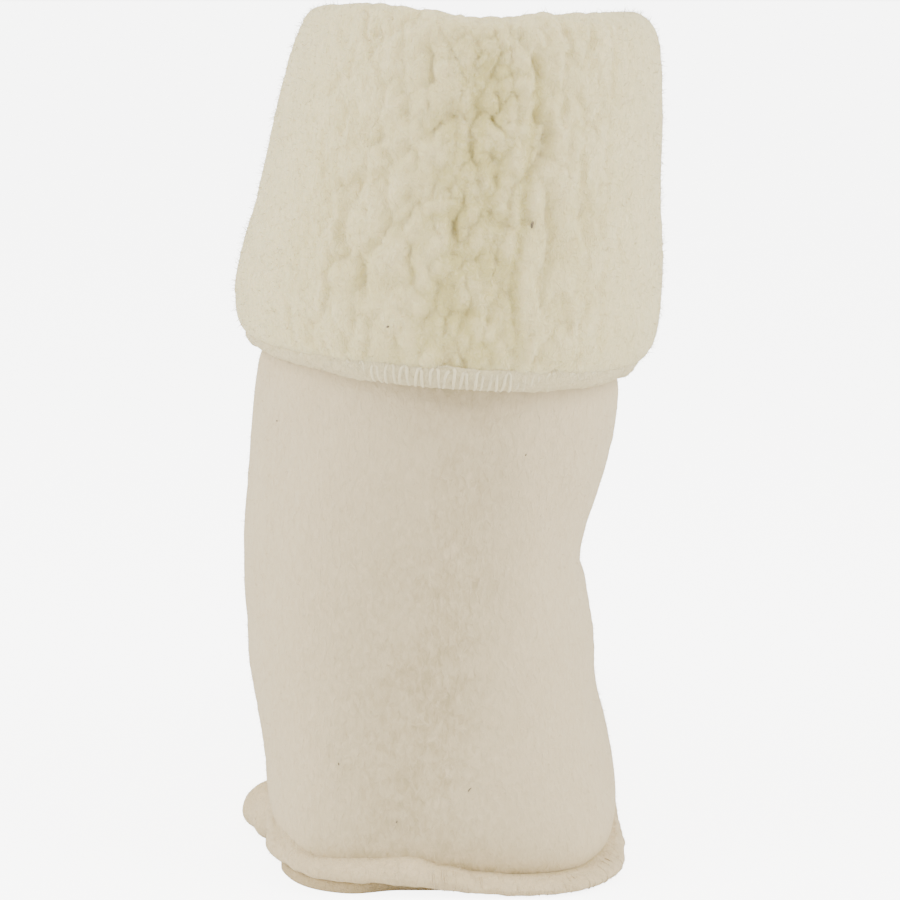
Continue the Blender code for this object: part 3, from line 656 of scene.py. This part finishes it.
upper = {
    "around": 340,
    "outerRows": 190,
    "innerRows": 94,
    "uneven": ((0.0005, 15, 0.026, 31), (0.00014, 120, 0.0042, 33)),
    "unevenFrom": (0.012, 0.035),  # way up from the sole where that starts and is full
    "feltShade": 0.90,  # how strong the painted shade on the felt is, in the trough down the back, under the hem and over the sole seam
    "mottle": ((0.16, 100, 0.0075, 35), (0.30, 170, 0.0036, 36)),  # and how unevenly
    "napShade": 0.92,
    # the inner pile; its last two values set the painted shade in its crevices
    "inside": {"wrap": 56, "low": 0.0010, "curl": 0.0011, "gap": 0.0004, "fold": 0.6, "end": 0.0045,
               "shadeStrength": 0.6, "shadeBelow": 0.8},
}
upperRows = columns("zBack zFront yBack yFront xLeft xRight yWide nBack nFront xFront tilt", (
    (0.0050, 0.0050, -0.0642, 0.2030, -0.0604, 0.0574, 0.032, 5.00, 2.85, -0.001, 0),
    (0.0110, 0.0115, -0.0668, 0.2068, -0.0640, 0.0602, 0.032, 4.60, 2.80, -0.001, 0),
    (0.0180, 0.0195, -0.0688, 0.2085, -0.0668, 0.0616, 0.031, 4.10, 2.72, -0.001, 0),
    (0.0260, 0.0290, -0.0697, 0.2066, -0.0686, 0.0612, 0.029, 3.60, 2.60, -0.002, 0),
    (0.0340, 0.0385, -0.0698, 0.2010, -0.0697, 0.0592, 0.026, 3.20, 2.45, -0.003, 0),
    (0.0425, 0.0475, -0.0692, 0.1900, -0.0708, 0.0566, 0.023, 2.90, 2.28, -0.004, 0),
    (0.0510, 0.0560, -0.0684, 0.1730, -0.0724, 0.0548, 0.019, 2.65, 2.12, -0.005, 0),
    (0.0595, 0.0640, -0.0676, 0.1520, -0.0737, 0.0543, 0.015, 2.50, 2.02, -0.006, 0),
    (0.0680, 0.0720, -0.0668, 0.1300, -0.0747, 0.0539, 0.011, 2.35, 1.96, -0.007, 0),
    (0.0765, 0.0805, -0.0661, 0.1105, -0.0750, 0.0529, 0.007, 2.25, 1.94, -0.008, 0),
    (0.0855, 0.0900, -0.0655, 0.0940, -0.0752, 0.0513, 0.004, 2.12, 1.95, -0.009, 0),
    (0.0950, 0.1005, -0.0650, 0.0815, -0.0753, 0.0497, 0.002, 2.08, 1.98, -0.010, 0),
    (0.1050, 0.1120, -0.0646, 0.0730, -0.0752, 0.0482, 0.001, 2.05, 2.02, -0.011, 0),
    (0.1155, 0.1235, -0.0643, 0.0680, -0.0751, 0.0493, 0, 2.05, 2.05, -0.011, 0.1),
    (0.1265, 0.1345, -0.0641, 0.0652, -0.0743, 0.0528, 0, 2.05, 2.05, -0.010, 0.2),
    (0.1380, 0.1450, -0.0640, 0.0638, -0.0732, 0.0562, 0, 2.05, 2.05, -0.008, 0.3),
    (0.1500, 0.1550, -0.0640, 0.0630, -0.0722, 0.0587, 0, 2.05, 2.05, -0.006, 0.5),
    (0.1620, 0.1650, -0.0640, 0.0627, -0.0710, 0.0602, 0, 2.05, 2.05, -0.005, 0.8),
    (0.1730, 0.1745, -0.0639, 0.0625, -0.0692, 0.0609, 0, 2.05, 2.05, -0.004, 1),
    (0.1800, 0.1810, -0.0638, 0.0624, -0.0672, 0.0604, 0, 2.05, 2.05, -0.003, 1),
    (0.1900, 0.1905, -0.0641, 0.0628, -0.0664, 0.0610, 0, 2.05, 2.05, -0.002, 1),
    (0.2080, 0.2080, -0.0650, 0.0636, -0.0654, 0.0630, 0, 2.05, 2.05, 0, 0.5),
    (0.2300, 0.2300, -0.0662, 0.0647, -0.0600, 0.0645, 0, 2.05, 2.05, 0.003, 0),
    (0.2540, 0.2530, -0.0674, 0.0657, -0.0543, 0.0647, 0, 2.05, 2.05, 0.006, 0),
    (0.2760, 0.2735, -0.0682, 0.0664, -0.0493, 0.0646, 0, 2.05, 2.05, 0.008, 0),
    (0.2930, 0.2890, -0.0684, 0.0666, -0.0452, 0.0634, 0, 2.05, 2.05, 0.009, 0),
))
upperEnd = len(upperRows["zBack"]) - 1.0


def upperRing(level, share):
    r = {name: between(upperRows, name, np.array(level)) for name in upperRows}
    ahead = 0.5 - 0.5 * np.cos(2 * np.pi * share)
    z = r["zBack"] + (r["zFront"] - r["zBack"]) * ahead + r["tilt"] * hemSlope(share)
    return np.column_stack([outline(r, share), z])


def onUpper(share, z):  # the point of the felt at a share of the way round and a height
    ahead = 0.5 - 0.5 * np.cos(2 * np.pi * share)
    heights = upperRows["zBack"] + (upperRows["zFront"] - upperRows["zBack"]) * ahead
    level = np.interp(z, heights, np.arange(len(heights)))
    return upperRing(level, np.array([share]))[0]


# Troughs and ridges of the felt, in the same way
folds = groovePaths((
    (0.0013, 0.0030, 0.014,  # under the hem
     ((-0.030, 0.1780), (0.020, 0.1755), (0.065, 0.1760))),
    (0.0030, 0.0135, 0.022,  # the long trough down the back
     ((0.024, 0.164), (0.040, 0.148), (0.057, 0.120), (0.043, 0.088), (0.023, 0.067), (0.010, 0.046),
      (0.014, 0.032))),
    (0.0022, 0.0065, 0.022, ((0.215, 0.103), (0.290, 0.112), (0.380, 0.110), (0.455, 0.104))),
    (-0.0012, 0.0080, 0.022, ((0.250, 0.122), (0.330, 0.127), (0.430, 0.122))),
    (0.0026, 0.0060, 0.022, ((0.400, 0.092), (0.480, 0.087), (0.560, 0.090), (0.640, 0.100))),
    (0.0020, 0.0070, 0.022, ((0.545, 0.112), (0.620, 0.118), (0.700, 0.112))),
    (0.0014, 0.0090, 0.022, ((0.420, 0.140), (0.520, 0.136), (0.590, 0.144))),
    (0.0013, 0.0080, 0.022, ((0.740, 0.070), (0.790, 0.052), (0.850, 0.030))),
    (0.0010, 0.0100, 0.022, ((0.170, 0.060), (0.130, 0.040), (0.105, 0.020))),
    (0.0012, 0.0070, 0.022, ((0.350, 0.060), (0.400, 0.066), (0.440, 0.074))),
    (0.0010, 0.0070, 0.022, ((0.580, 0.074), (0.630, 0.064), (0.660, 0.050))),
    (0.0009, 0.0100, 0.022, ((0.090, 0.172), (0.110, 0.150), (0.150, 0.118))),
    (0.0010, 0.0110, 0.022, ((0.880, 0.170), (0.860, 0.130), (0.870, 0.092))),
), onUpper)
feltShadeLines = groovePaths((  # where the felt gets painted shade, by how much and how wide
    (0.42, 0.0150, 0.030,
     ((0.020, 0.178), (0.034, 0.150), (0.042, 0.120), (0.029, 0.090), (0.010, 0.064), (0.000, 0.020))),
    (0.10, 0.0280, 0.030, ((0.012, 0.184), (0.018, 0.130), (0.002, 0.098))),
    (0.50, 0.0280, 0.020,
     ((-0.004, 0.098), (-0.015, 0.062), (-0.018, 0.030), (-0.014, 0.010))),
    (1.20, 0.0022, 0.014,  # painted shadow right under the hem
     ((-0.030, 0.1810), (-0.018, 0.1804), (0.010, 0.1790), (0.056, 0.1788))),
    (0.32, 0.0024, 0.020,  # and painted shade in the crease over the sole seam
     ((-0.070, 0.0130), (-0.040, 0.0145), (-0.017, 0.0148), (0.000, 0.0108), (0.020, 0.0078),
      (0.045, 0.0064), (0.072, 0.0072), (0.090, 0.0098))),
    (0.40, 0.0020, 0.014, ((-0.004, 0.0108), (0.018, 0.0076), (0.050, 0.0062))),
), onUpper)


def buildUpper():
    share = ringShares(upper["around"])
    rings = evenRings(upperRing, upperEnd, upper["outerRows"], share)[0]
    round2, down2 = np.meshgrid(share, wayDown(rings))
    lift = unevenness(upper["uneven"], round2, down2)
    lift = (lift - grooveDepth(rings, folds)) * smoothStep(*upper["unevenFrom"], down2)
    outer = rings + outwardOf(rings) * lift[..., None]
    mottle = upper["napShade"] + unevenness(upper["mottle"], round2, down2)
    napShade = grooveDepth(rings, feltShadeLines) * mottle
    inside = upper["inside"]
    rings = evenRings(upperRing, upperEnd, upper["innerRows"], share)[0][::-1]
    round2, down2 = np.meshgrid(share, wayDown(rings))
    height, gap = curlField(round2, down2 / curls["rowPitch"], inside["wrap"], 50)
    deep = liner["wall"] - inside["low"] + inside["curl"] * height - inside["gap"] * gap
    deep = deep + inside["fold"] * grooveDepth(rings, folds)
    deep = deep - inside["low"] * (1.0 - smoothStep(0.0, inside["end"], down2))  # under the cuff's end
    inner = rings + outwardOf(rings) * deep[..., None]
    whole = np.concatenate([outer, inner, outer[:1]])
    paintedShade = np.zeros(whole.shape[:2])
    # painted shade on the felt: along its trough down the back, under the hem and in the crease over the
    # sole seam
    paintedShade[:len(outer)] = upper["feltShade"] * napShade
    # painted shade in the inner pile's crevices
    paintedShade[len(outer):-1] = inside["shadeStrength"] * np.clip(gap + inside["shadeBelow"] - height, 0.0, 1.0)
    kinds = np.zeros(len(whole), int)
    kinds[upper["outerRows"]:] = 1
    return clothObject("upperCloth", whole, [felt, pile], paintedShade, kinds)


upperPiece = buildUpper()

# The cuff's overlocked hem: a rolled band that laps over the cut edge, with looped threads over it

hem = {
    "around": 560,
    "section": 26,
    "uneven": ((0.0005, 60, 1 / 3, 71), (0.0003, 260, 1 / 14, 72)),  # with pitches in section lengths
    "narrow": 0.72,  # the band's height at the sides and in front, as a share of that at the back
    "narrowFrom": (0.02, 0.06, 0.18),  # where it is highest, and how far from there it narrows and is narrow
    "stitches": 178,
    "threadRadius": 0.00064,
    "threadLean": (0.26, 0.80),  # this way and that in turn, and how far each one strays
    "threadStart": (0.1, 0.8),  # number on the section, and how far each one strays
    "threadEnd": 5.3,
    "threadStray": 0.3,
    "threadHook": 0.30,  # how far its top end turns aside
    "core": (7.0, 3.0),  # numbers on the section that the band's middle lies between
    "sunk": 0.00088,  # how far a thread lies in the band
    "sunkMore": 0.00090,  # and how much further where it is hidden
    "sunkStray": 0.00025,
    "sunkUnder": (0.0002, 2.5, 5.0),  # and under the band, from one section number to another
    "ends": -0.0004,  # how high its ends lie over the band
    "shown": (0.006, 0.066),  # middle and half width of the stretch at the back where the threads show
    "shownEnds": (-0.008, 0.012),  # how softly that ends
    "calm": (0.20, 0.25),  # as far as here round the back they lie deep in the wool
    "patches": 0.11,  # and further on they do in patches, so many to a thread
}
hemSection = columns("level down out", (  # level is the cuff's row that a point starts from
    (24.05, 0, -0.0005), (24.60, 0, 0.0009), (25.00, 0.0012, 0.0012), (25.00, 0.0034, 0),
    (25.00, 0.0048, -0.0018), (25.00, 0.0050, -0.0034), (25.00, 0.0036, -0.0044), (25.00, 0.0014, -0.0045),
    (25.00, 0.0008, -0.0030), (25.00, 0.0008, 0), (24.60, 0, -0.0006), (23.90, 0, -0.0010),
))


def hemPoint(share, section):  # points on the band at arrays of shares and section numbers
    flatShare = np.ravel(share)
    at = roundSection(hemSection, np.ravel(section))
    low = cuffRing(cuffPile, cuffEnd, flatShare)
    high = cuffRing(cuffPile, cuffEnd - 1.0, flatShare)
    normal = flatNormals(lambda s: cuffRing(cuffPile, cuffEnd, s), flatShare)
    highest, *narrowing = hem["narrowFrom"]
    lap = 1.0 - (1.0 - hem["narrow"]) * smoothStep(*narrowing, np.abs(backShare(flatShare) - highest))
    point = low + (high - low) * ((cuffEnd - at["level"]) * lap)[:, None]
    point[:, :2] += normal * at["out"][:, None]
    point[:, 2] -= at["down"] * lap
    return point.reshape(*np.shape(share), 3)


def buildHem():
    round2, way2 = np.meshgrid(ringShares(hem["around"]), np.linspace(0.0, 1.0, hem["section"] + 1))
    rings = hemPoint(round2, way2 * len(hemSection["level"]))
    rings = rings + awayFromMiddle(rings) * unevenness(hem["uneven"], round2, way2)[..., None]
    rings[-1] = rings[0]
    band = clothObject("hemBand", rings, [hemWool])
    number = np.arange(hem["stitches"])[:, None]
    side = np.where(number % 2, 1.0, -1.0)
    lean = hem["threadLean"][0] * side + hem["threadLean"][1] * (scatter(number, 1, 80) - 0.5)
    first = hem["threadStart"][0] + hem["threadStart"][1] * (scatter(number, 2, 80) - 0.5)
    section = first + (hem["threadEnd"] - first) * np.linspace(0.0, 1.0, 8)
    turn = 0.5 + hem["threadStray"] * (scatter(number, 4, 80) - 0.5) + lean * (0.5 - section / 5.0)
    turn[:, :1] += hem["threadHook"] * side
    share = 0.5 + (number + turn) / hem["stitches"]
    fromBack = backShare(0.5 + number / hem["stitches"])
    patch = smoothStep(-0.3, 0.4, softNoise(number * hem["patches"] + 3.0, number * 0.0, 99, 83))
    hidden = np.maximum(patch, 1.0 - smoothStep(*hem["calm"], np.abs(fromBack)))
    hidden = hidden * smoothStep(*hem["shownEnds"], np.abs(fromBack - hem["shown"][0]) - hem["shown"][1])
    deeper, *under = hem["sunkUnder"]
    lift = hem["threadRadius"] - hem["sunk"] - hem["sunkMore"] * hidden
    lift = lift - hem["sunkStray"] * scatter(number, 6, 80) - deeper * smoothStep(*under, section)
    path = overBand(hemPoint, share, section, hem, lift)
    return band, threadObject("hemStitches", path, hem["threadRadius"], thread)


hemBand, hemStitches = buildHem()

# The sole seam: the rolled allowances of upper and sole outside the wall, overlocked

seam = {
    "around": 640,
    "section": 30,
    "stand": -0.0003,  # its inner side is pressed into the wall's nap
    "soleClear": 0.0010,
    "leastWidth": 0.0025,
    "uneven": ((0.00075, 64, 1 / 3, 91), (0.00050, 190, 1 / 7, 92)),  # lumps and fine curls, as the hem's
    "outside": (0.30, 0.48, 0.93, 1.0),  # where on the section they start, are full, start to end and end
    "lowest": 0.0004,  # of the roll over the floor, and of its threads
    "lowestThread": 0.0006,
    "underShade": (0.95, 0.16, 0.9),  # painted shade under the roll: its place on the section, its reach and its strength
    "creaseShade": (0.26, 0.10, 0.35, 0.5),  # painted shade in the crease over the roll, the same way, and how much stronger past the lobe
    "pastLobe": (-0.03, 0.0),
    "stitches": 290,
    "threadRadius": 0.00020,
    "threadLean": 0.7,
    "threadSpan": (3.4, 7.6),  # numbers on the section where a thread starts and ends
    "threadStray": 0.5,
    "core": (1.0, 6.0),  # this and the next ones as in the hem
    "sunk": 0.00012,
    "sunkMore": 0.0012,
    "sunkStray": 0.4,  # as a share of sunkMore
    "ends": -0.0005,
    "shown": (0.020, 0.040),  # in metres along the edge
    "shownEnds": (0.0, 0.02),
}
seamRun = columns("along bottom top out", (
    (-0.330, 0.0012, 0.0090, 0.0078),
    (-0.160, 0.0012, 0.0090, 0.0082),
    (-0.134, 0.0014, 0.0104, 0.0084),
    (-0.120, 0.0012, 0.0164, 0.0144),
    (-0.108, 0.0010, 0.0190, 0.0172),
    (-0.097, 0.0020, 0.0172, 0.0122),
    (-0.084, 0.0046, 0.0162, 0.0078),
    (-0.062, 0.0066, 0.0158, 0.0088),
    (-0.044, 0.0054, 0.0112, 0.0090),
    (-0.026, 0.0045, 0.0120, 0.0091),
    (-0.011, 0.0038, 0.0127, 0.0094),
    (0.000, 0.0026, 0.0092, 0.0096),
    (0.011, 0.0013, 0.0068, 0.0099),
    (0.024, 0.0003, 0.0055, 0.0102),
    (0.036, 0.0003, 0.0055, 0.0101),
    (0.048, 0.0006, 0.0059, 0.0100),
    (0.059, 0.0010, 0.0076, 0.0094),
    (0.072, 0.0012, 0.0090, 0.0084),
    (0.092, 0.0012, 0.0096, 0.0062),
    (0.125, 0.0012, 0.0090, 0.0060),
    (0.330, 0.0012, 0.0090, 0.0074),
))
seamSection = columns("across up", (  # 0 at the wall to 1 outside, and 0 at the bottom to 1 at the top
    (0.00, 0.14), (0.00, 0.55), (-0.04, 1.14), (0.16, 1.08), (0.52, 0.99), (0.88, 0.76), (1.00, 0.44),
    (0.84, 0.12), (0.42, 0.00),
))
edgeRing = upperRing(0.0, ringShares(400))
edgeLength = np.linalg.norm(np.diff(edgeRing, axis=0), axis=1).sum()


def edgeNormal(share):
    return flatNormals(lambda s: upperRing(0.0, s), share)


def seamPoint(share, section):  # points of the flange at arrays of shares and section numbers
    flatShare = np.ravel(share)
    way = backShare(flatShare) * edgeLength
    bottom, top, out = (eased(seamRun["along"], seamRun[name], way) for name in ("bottom", "top", "out"))
    at = roundSection(seamSection, np.ravel(section))
    z = bottom + (top - bottom) * at["up"]
    base = upperRing(0.0, flatShare)[:, :2]
    wall = base.copy()
    for level in range(4):
        low = upperRing(float(level), flatShare)
        high = upperRing(level + 1.0, flatShare)
        part = (z - low[:, 2]) / (high[:, 2] - low[:, 2])
        inside = low[:, :2] + (high - low)[:, :2] * np.minimum(part, 1.0)[:, None]
        wall = np.where((part > 0)[:, None], inside, wall)
    normal = edgeNormal(flatShare)
    stood = ((wall - base) * normal).sum(axis=1)
    near = np.maximum(seam["stand"], seam["soleClear"] - stood)
    far = np.maximum(out - stood, near + seam["leastWidth"])
    across = near + (far - near) * at["across"]
    return np.column_stack([wall + normal * across[:, None], z]).reshape(*np.shape(share), 3)


def buildSeam():
    count = len(seamSection["up"])
    round2, way2 = np.meshgrid(ringShares(seam["around"]), np.linspace(0.0, 1.0, seam["section"] + 1))
    rings = seamPoint(round2, way2 * count)
    outside = smoothStep(*seam["outside"][:2], way2) * (1.0 - smoothStep(*seam["outside"][2:], way2))
    lift = unevenness(seam["uneven"], round2, way2) * outside
    rings = rings + awayFromMiddle(rings) * lift[..., None]
    rings[:, :, 2] = np.maximum(rings[:, :, 2], seam["lowest"])
    rings[-1] = rings[0]
    # painted shade under the roll and in the crease over it
    at, reach, strong = seam["underShade"]
    underShade = np.clip(1.0 - np.abs(way2 - at) / reach, 0.0, strong)
    at, reach, strong, stronger = seam["creaseShade"]
    creaseShade = strong + stronger * smoothStep(*seam["pastLobe"], backShare(round2) * edgeLength)
    creaseShade = creaseShade * np.clip(1.0 - np.abs(way2 - at) / reach, 0.0, 1.0)
    flange = clothObject("rolledSeam", rings, [flangeWool], underShade + creaseShade)
    number = np.arange(seam["stitches"])[:, None]
    lean = seam["threadLean"] * (scatter(number, 1, 95) - 0.5)
    start, end = seam["threadSpan"]
    section = np.linspace(start, end, 8) + 0.0 * number
    turn = 0.5 + seam["threadStray"] * (scatter(number, 2, 95) - 0.5)
    turn = turn + lean * (section - (start + end) / 2) / (end - start)
    share = 0.5 + (number + turn) / seam["stitches"]
    swell = unevenness(seam["uneven"][:1], share, section / count)
    fromShown = np.abs(backShare(0.5 + number / seam["stitches"]) * edgeLength - seam["shown"][0])
    hidden = smoothStep(*seam["shownEnds"], fromShown - seam["shown"][1])
    hidden = seam["sunkStray"] * scatter(number, 5, 95) + hidden
    lift = seam["threadRadius"] - seam["sunk"] + swell - seam["sunkMore"] * hidden
    path = overBand(seamPoint, share, section, seam, lift)
    path[..., 2] = np.maximum(path[..., 2], seam["lowestThread"])
    return flange, threadObject("seamStitches", path, seam["threadRadius"], flangeWool)


rolledSeam, seamStitches = buildSeam()

# The sole: a flat oval of the same cloth, coloured darker as painted shade

sole = {
    "around": 360,
    "thickness": 0.0045,
    "ease": 0.0010,
}
soleEdge = columns("along out", (  # how far the sole stands out from the wall's cut edge
    (-0.330, 0.0006), (-0.150, 0.0006), (-0.120, -0.0022), (-0.086, -0.0018), (-0.064, 0.0040),
    (-0.034, 0.0052), (-0.016, 0.0006), (0.330, 0.0006),
))


def buildSole():
    share = ringShares(sole["around"])[:-1]
    out = eased(soleEdge["along"], soleEdge["out"], backShare(share) * edgeLength)
    flat = upperRing(0.0, share)[:, :2] + edgeNormal(share) * out[:, None] - liner["middle"][:2]
    form = bmesh.new()
    bmesh.ops.create_circle(form, cap_ends=True, segments=sole["around"], radius=1.0)
    for corner, (x, y) in zip(form.verts, flat):
        corner.co = (x, y, 0.0)
    raised = bmesh.ops.extrude_face_region(form, geom=form.faces[:])
    top = [v for v in raised["geom"] if isinstance(v, bmesh.types.BMVert)]
    bmesh.ops.translate(form, verts=top, vec=(0.0, 0.0, sole["thickness"]))
    bmesh.ops.recalc_face_normals(form, faces=form.faces[:])
    rims = [edge for edge in form.edges if edge.verts[0].co.z == edge.verts[1].co.z]
    bmesh.ops.bevel(form, geom=rims, offset=sole["ease"], segments=3, profile=0.5, affect="EDGES",
                    material=-1)
    mesh = meshOf(form, "solePad")
    mesh.materials.append(shadedSoleFelt)
    return addPiece("solePad", mesh)


solePiece = buildSole()

# The closing seam down the front and over the instep

front = {
    "points": 400,  # of the line down the front before it is cut to length
    "rows": 150,
    "turns": 12,
    "half": 0.0028,
    "height": 0.0034,
    "clear": -0.0010,  # its foot is sewn down into the nap
    "lowest": 0.70,  # from this row of the upper to this one
    "highest": 18.9,
    "stitches": 96,
    "threadRadius": 0.00028,
    "threadLean": 1.2,
    "uneven": 0.0002,
}
frontLevels = evenLevels(upperRing, upperEnd, front["points"])


def frontRun():  # points of the closing line, and its sideways and outward directions
    near = np.array([upperRing(at, np.array([0.5, 0.4985, 0.5015])) for at in frontLevels])
    side = unit(near[:, 1] - near[:, 2])
    up = unit(np.cross(np.gradient(near[:, 0], axis=0), side))
    return near[:, 0] - up * grooveDepth(near[:, 0], folds)[:, None], side, up


frontLine = frontRun()


def frontPoint(position, turn, more=0.0):  # on a half-round bead that follows the line
    number = np.arange(front["points"])
    line, side, up = (np.stack([np.interp(position, number, part[:, k]) for k in range(3)], axis=-1)
                      for part in frontLine)
    lift = front["clear"] + (front["height"] + more) * np.maximum(0.0, np.sin(turn))
    return line + side * ((front["half"] + more) * np.cos(turn))[..., None] + up * lift[..., None]


def buildFront():
    start, end = np.searchsorted(frontLevels, (front["lowest"], front["highest"]))
    turns, positions = np.meshgrid(np.linspace(0.0, np.pi, front["turns"]),
                                   np.linspace(start, end, front["rows"]))
    uneven = front["uneven"] * softNoise(positions * 0.35, turns * 0.0, 9999, 121)
    rings = frontPoint(positions, turns, uneven)
    under = rings[:, [-1, 0]].mean(axis=1, keepdims=True)
    rings = np.concatenate([rings, under, rings[:, :1]], axis=1)
    bead = clothObject("frontSeamBead", rings, [flangeWool], capped=True)
    number = np.arange(front["stitches"])[:, None]
    turn = np.linspace(-0.05, np.pi + 0.05, 8) + 0.0 * number
    lean = front["threadLean"] * (scatter(number, 3, 110) - 0.5) + np.where(number % 2, 1.0, -1.0)
    middle = start + 2 + number * (end - start - 4) / (front["stitches"] - 1)
    path = frontPoint(middle + lean * np.cos(turn), turn, front["threadRadius"] * 0.4)
    return bead, threadObject("frontSeamStitches", path, front["threadRadius"], thread)


frontBead, frontStitches = buildFront()

# Loose fibres that stand off the pile and the felt

nap = {
    "pile": {"thick": 0.000080, "long": 0.0018, "curl": 0.80, "lean": 1.2, "density": 160000.0, "seed": 7},
    "felt": {"thick": 0.000045, "long": 0.0014, "curl": 0.60, "lean": 1.2, "density": 78000.0, "seed": 8},
    "edge": {"thick": 0.000050, "long": 0.0011, "curl": 0.60, "lean": 1.1, "density": 230000.0, "seed": 9},
}
cuffNap = napObject("cuffNap", cuffPiece, pile, nap["pile"], pile)
legNap = napObject("legNap", upperPiece, felt, nap["felt"], felt)
hemNap = napObject("hemNap", hemBand, hemWool, nap["edge"], hemWool)
seamNap = napObject("seamNap", rolledSeam, flangeWool, nap["edge"], flangeWool)

# Camera at the photograph's angle: behind the heel, a little above the middle, looking slightly down

view = {
    "place": (0.00015, -1.0446, 0.327),
    "down": 10.5,  # degrees below the horizon
    "lens": 109.2,
    "sensor": 36.0,
    "pixels": 900,
}
camera = addObject("photoCamera", bpy.data.cameras.new("photoCamera"))
camera.data.lens = view["lens"]
camera.data.sensor_width = view["sensor"]
camera.location = view["place"]
camera.rotation_euler = (math.radians(90.0 - view["down"]), 0.0, 0.0)
camera.data.clip_end = 20.0
bpy.context.scene.camera = camera

# Bits of grass and seed caught in the wool, where the photograph shows them

specks = (  # pixel across and down, length, width, and turn in degrees
    (533, 225, 0.0030, 0.0011, 80),
    (470, 790, 0.0021, 0.0005, 50),
    (388, 327, 0.0013, 0.0008, 20),
    (397, 822, 0.0011, 0.0006, 80),
    (339, 764, 0.0011, 0.0005, 100),
    (277, 421, 0.0009, 0.0006, 10),
    (526, 455, 0.0010, 0.0005, 60),
)


def buildSpecks():
    bpy.context.view_layer.update()
    trees = [BVHTree.FromObject(p, bpy.context.evaluated_depsgraph_get()) for p in (cuffPiece, upperPiece)]
    form = bmesh.new()
    for right, down, length, width, turn in specks:
        across = (right / view["pixels"] - 0.5) * view["sensor"] / view["lens"]
        upward = (0.5 - down / view["pixels"]) * view["sensor"] / view["lens"]
        ray = camera.matrix_world.to_3x3() @ Vector((across, upward, -1.0))
        hits = [tree.ray_cast(camera.location, ray) for tree in trees]
        place, normal = min((h for h in hits if h[0]), key=lambda h: h[3])[:2]
        made = bmesh.ops.create_icosphere(form, subdivisions=1, radius=0.5)["verts"]
        bmesh.ops.scale(form, verts=made, vec=(length, width, width * 0.6))
        for corner in made:  # a slight bend
            corner.co.y += 0.12 * length * math.cos(corner.co.x / length * 3.0)
        turned = normal.to_track_quat("Z", "Y").to_matrix().to_4x4()
        turned.translation = place + normal * width * 0.12
        bmesh.ops.transform(form, matrix=turned @ Matrix.Rotation(math.radians(turn), 4, "Z"), verts=made)
    mesh = meshOf(form, "plantSpecks")
    mesh.materials.append(speckStuff)
    return addPiece("plantSpecks", mesh)


speckPiece = buildSpecks()

# What rides where, and what it stands for

finishes = (  # a material slot's name, its solid, the piece that stands for that, and the pieces that ride with it
    ("wool_pile", "cuff", cuffPiece, cuffNap, speckPiece),
    ("felted_wool", "upper", upperPiece, legNap),
    ("hem_thread", "cuff_hem", hemBand, hemStitches, hemNap),
    ("seam_wool", "sole_seam", rolledSeam, seamStitches, seamNap),
    ("sole_wool", "sole", solePiece),
    ("seam_thread", "front_seam", frontBead, frontStitches),
)
for slotName, solid, *pieces in finishes:
    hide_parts(solid)
    for piece in pieces:
        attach(piece, "root")

# Floor, light and surroundings

stageLook = {
    "floorSize": 30.0,
    "floorColour": (0.93, 0.93, 0.92),
    "glow": 6.0,  # how bright table and room look to the camera, which lights nothing
    "air": 1.05,  # and how bright the room is for all else
    "airColour": (1.0, 0.99, 0.97),
    "boxColour": (1.0, 0.985, 0.96),
    "sideLight": 22.5,
    "topLight": 6.0,
}


def cameraOnly(tree, shader, place, glow):  # one strength for the camera's rays, and one for all others
    seen = addNode(tree, "ShaderNodeLightPath")
    strength = addNode(tree, "ShaderNodeMapRange", {"To Min": glow[0], "To Max": glow[1]})
    join(tree, (seen, "Is Camera Ray", strength, "Value"), (strength, 0, shader, place))


floorForm = bmesh.new()
bmesh.ops.create_grid(floorForm, x_segments=1, y_segments=1, size=stageLook["floorSize"] / 2)
floor = addObject("floor", meshOf(floorForm, "floor"))
floorPaint = bpy.data.materials.new("pale floor")
floorPaint.use_nodes = True
paint = floorPaint.node_tree.nodes["Principled BSDF"]
setInputs(paint, {"Base Color": (*stageLook["floorColour"], 1.0), "Roughness": 0.9,
                  "Specular IOR Level": 0.1, "Emission Color": (1.0, 1.0, 1.0, 1.0)})
cameraOnly(floorPaint.node_tree, paint, "Emission Strength", (0.0, stageLook["glow"]))
floor.data.materials.append(floorPaint)

world = bpy.data.worlds.new("soft room")
world.use_nodes = True
room = world.node_tree.nodes["Background"]
room.inputs["Color"].default_value = (*stageLook["airColour"], 1.0)
cameraOnly(world.node_tree, room, "Strength", (stageLook["air"], stageLook["glow"]))
bpy.context.scene.world = world


def softBox(name, place, size, power):
    lamp = bpy.data.lights.new(name, "AREA")
    lamp.shape = "RECTANGLE"
    lamp.size, lamp.size_y = size
    lamp.energy = power
    lamp.color = stageLook["boxColour"]
    holder = addObject(name, lamp)
    holder.location = place
    way = Vector((0.0, -0.05, 0.15)) - Vector(place)
    holder.rotation_euler = way.to_track_quat("-Z", "Y").to_euler()


softBox("leftBox", (-1.15, -0.50, 0.80), (0.8, 1.3), stageLook["sideLight"])
softBox("rightBox", (1.15, -0.50, 0.80), (0.8, 1.3), stageLook["sideLight"])
softBox("topBox", (0.0, -0.3, 1.6), (1.2, 1.2), stageLook["topLight"])
print("scene: stage made")
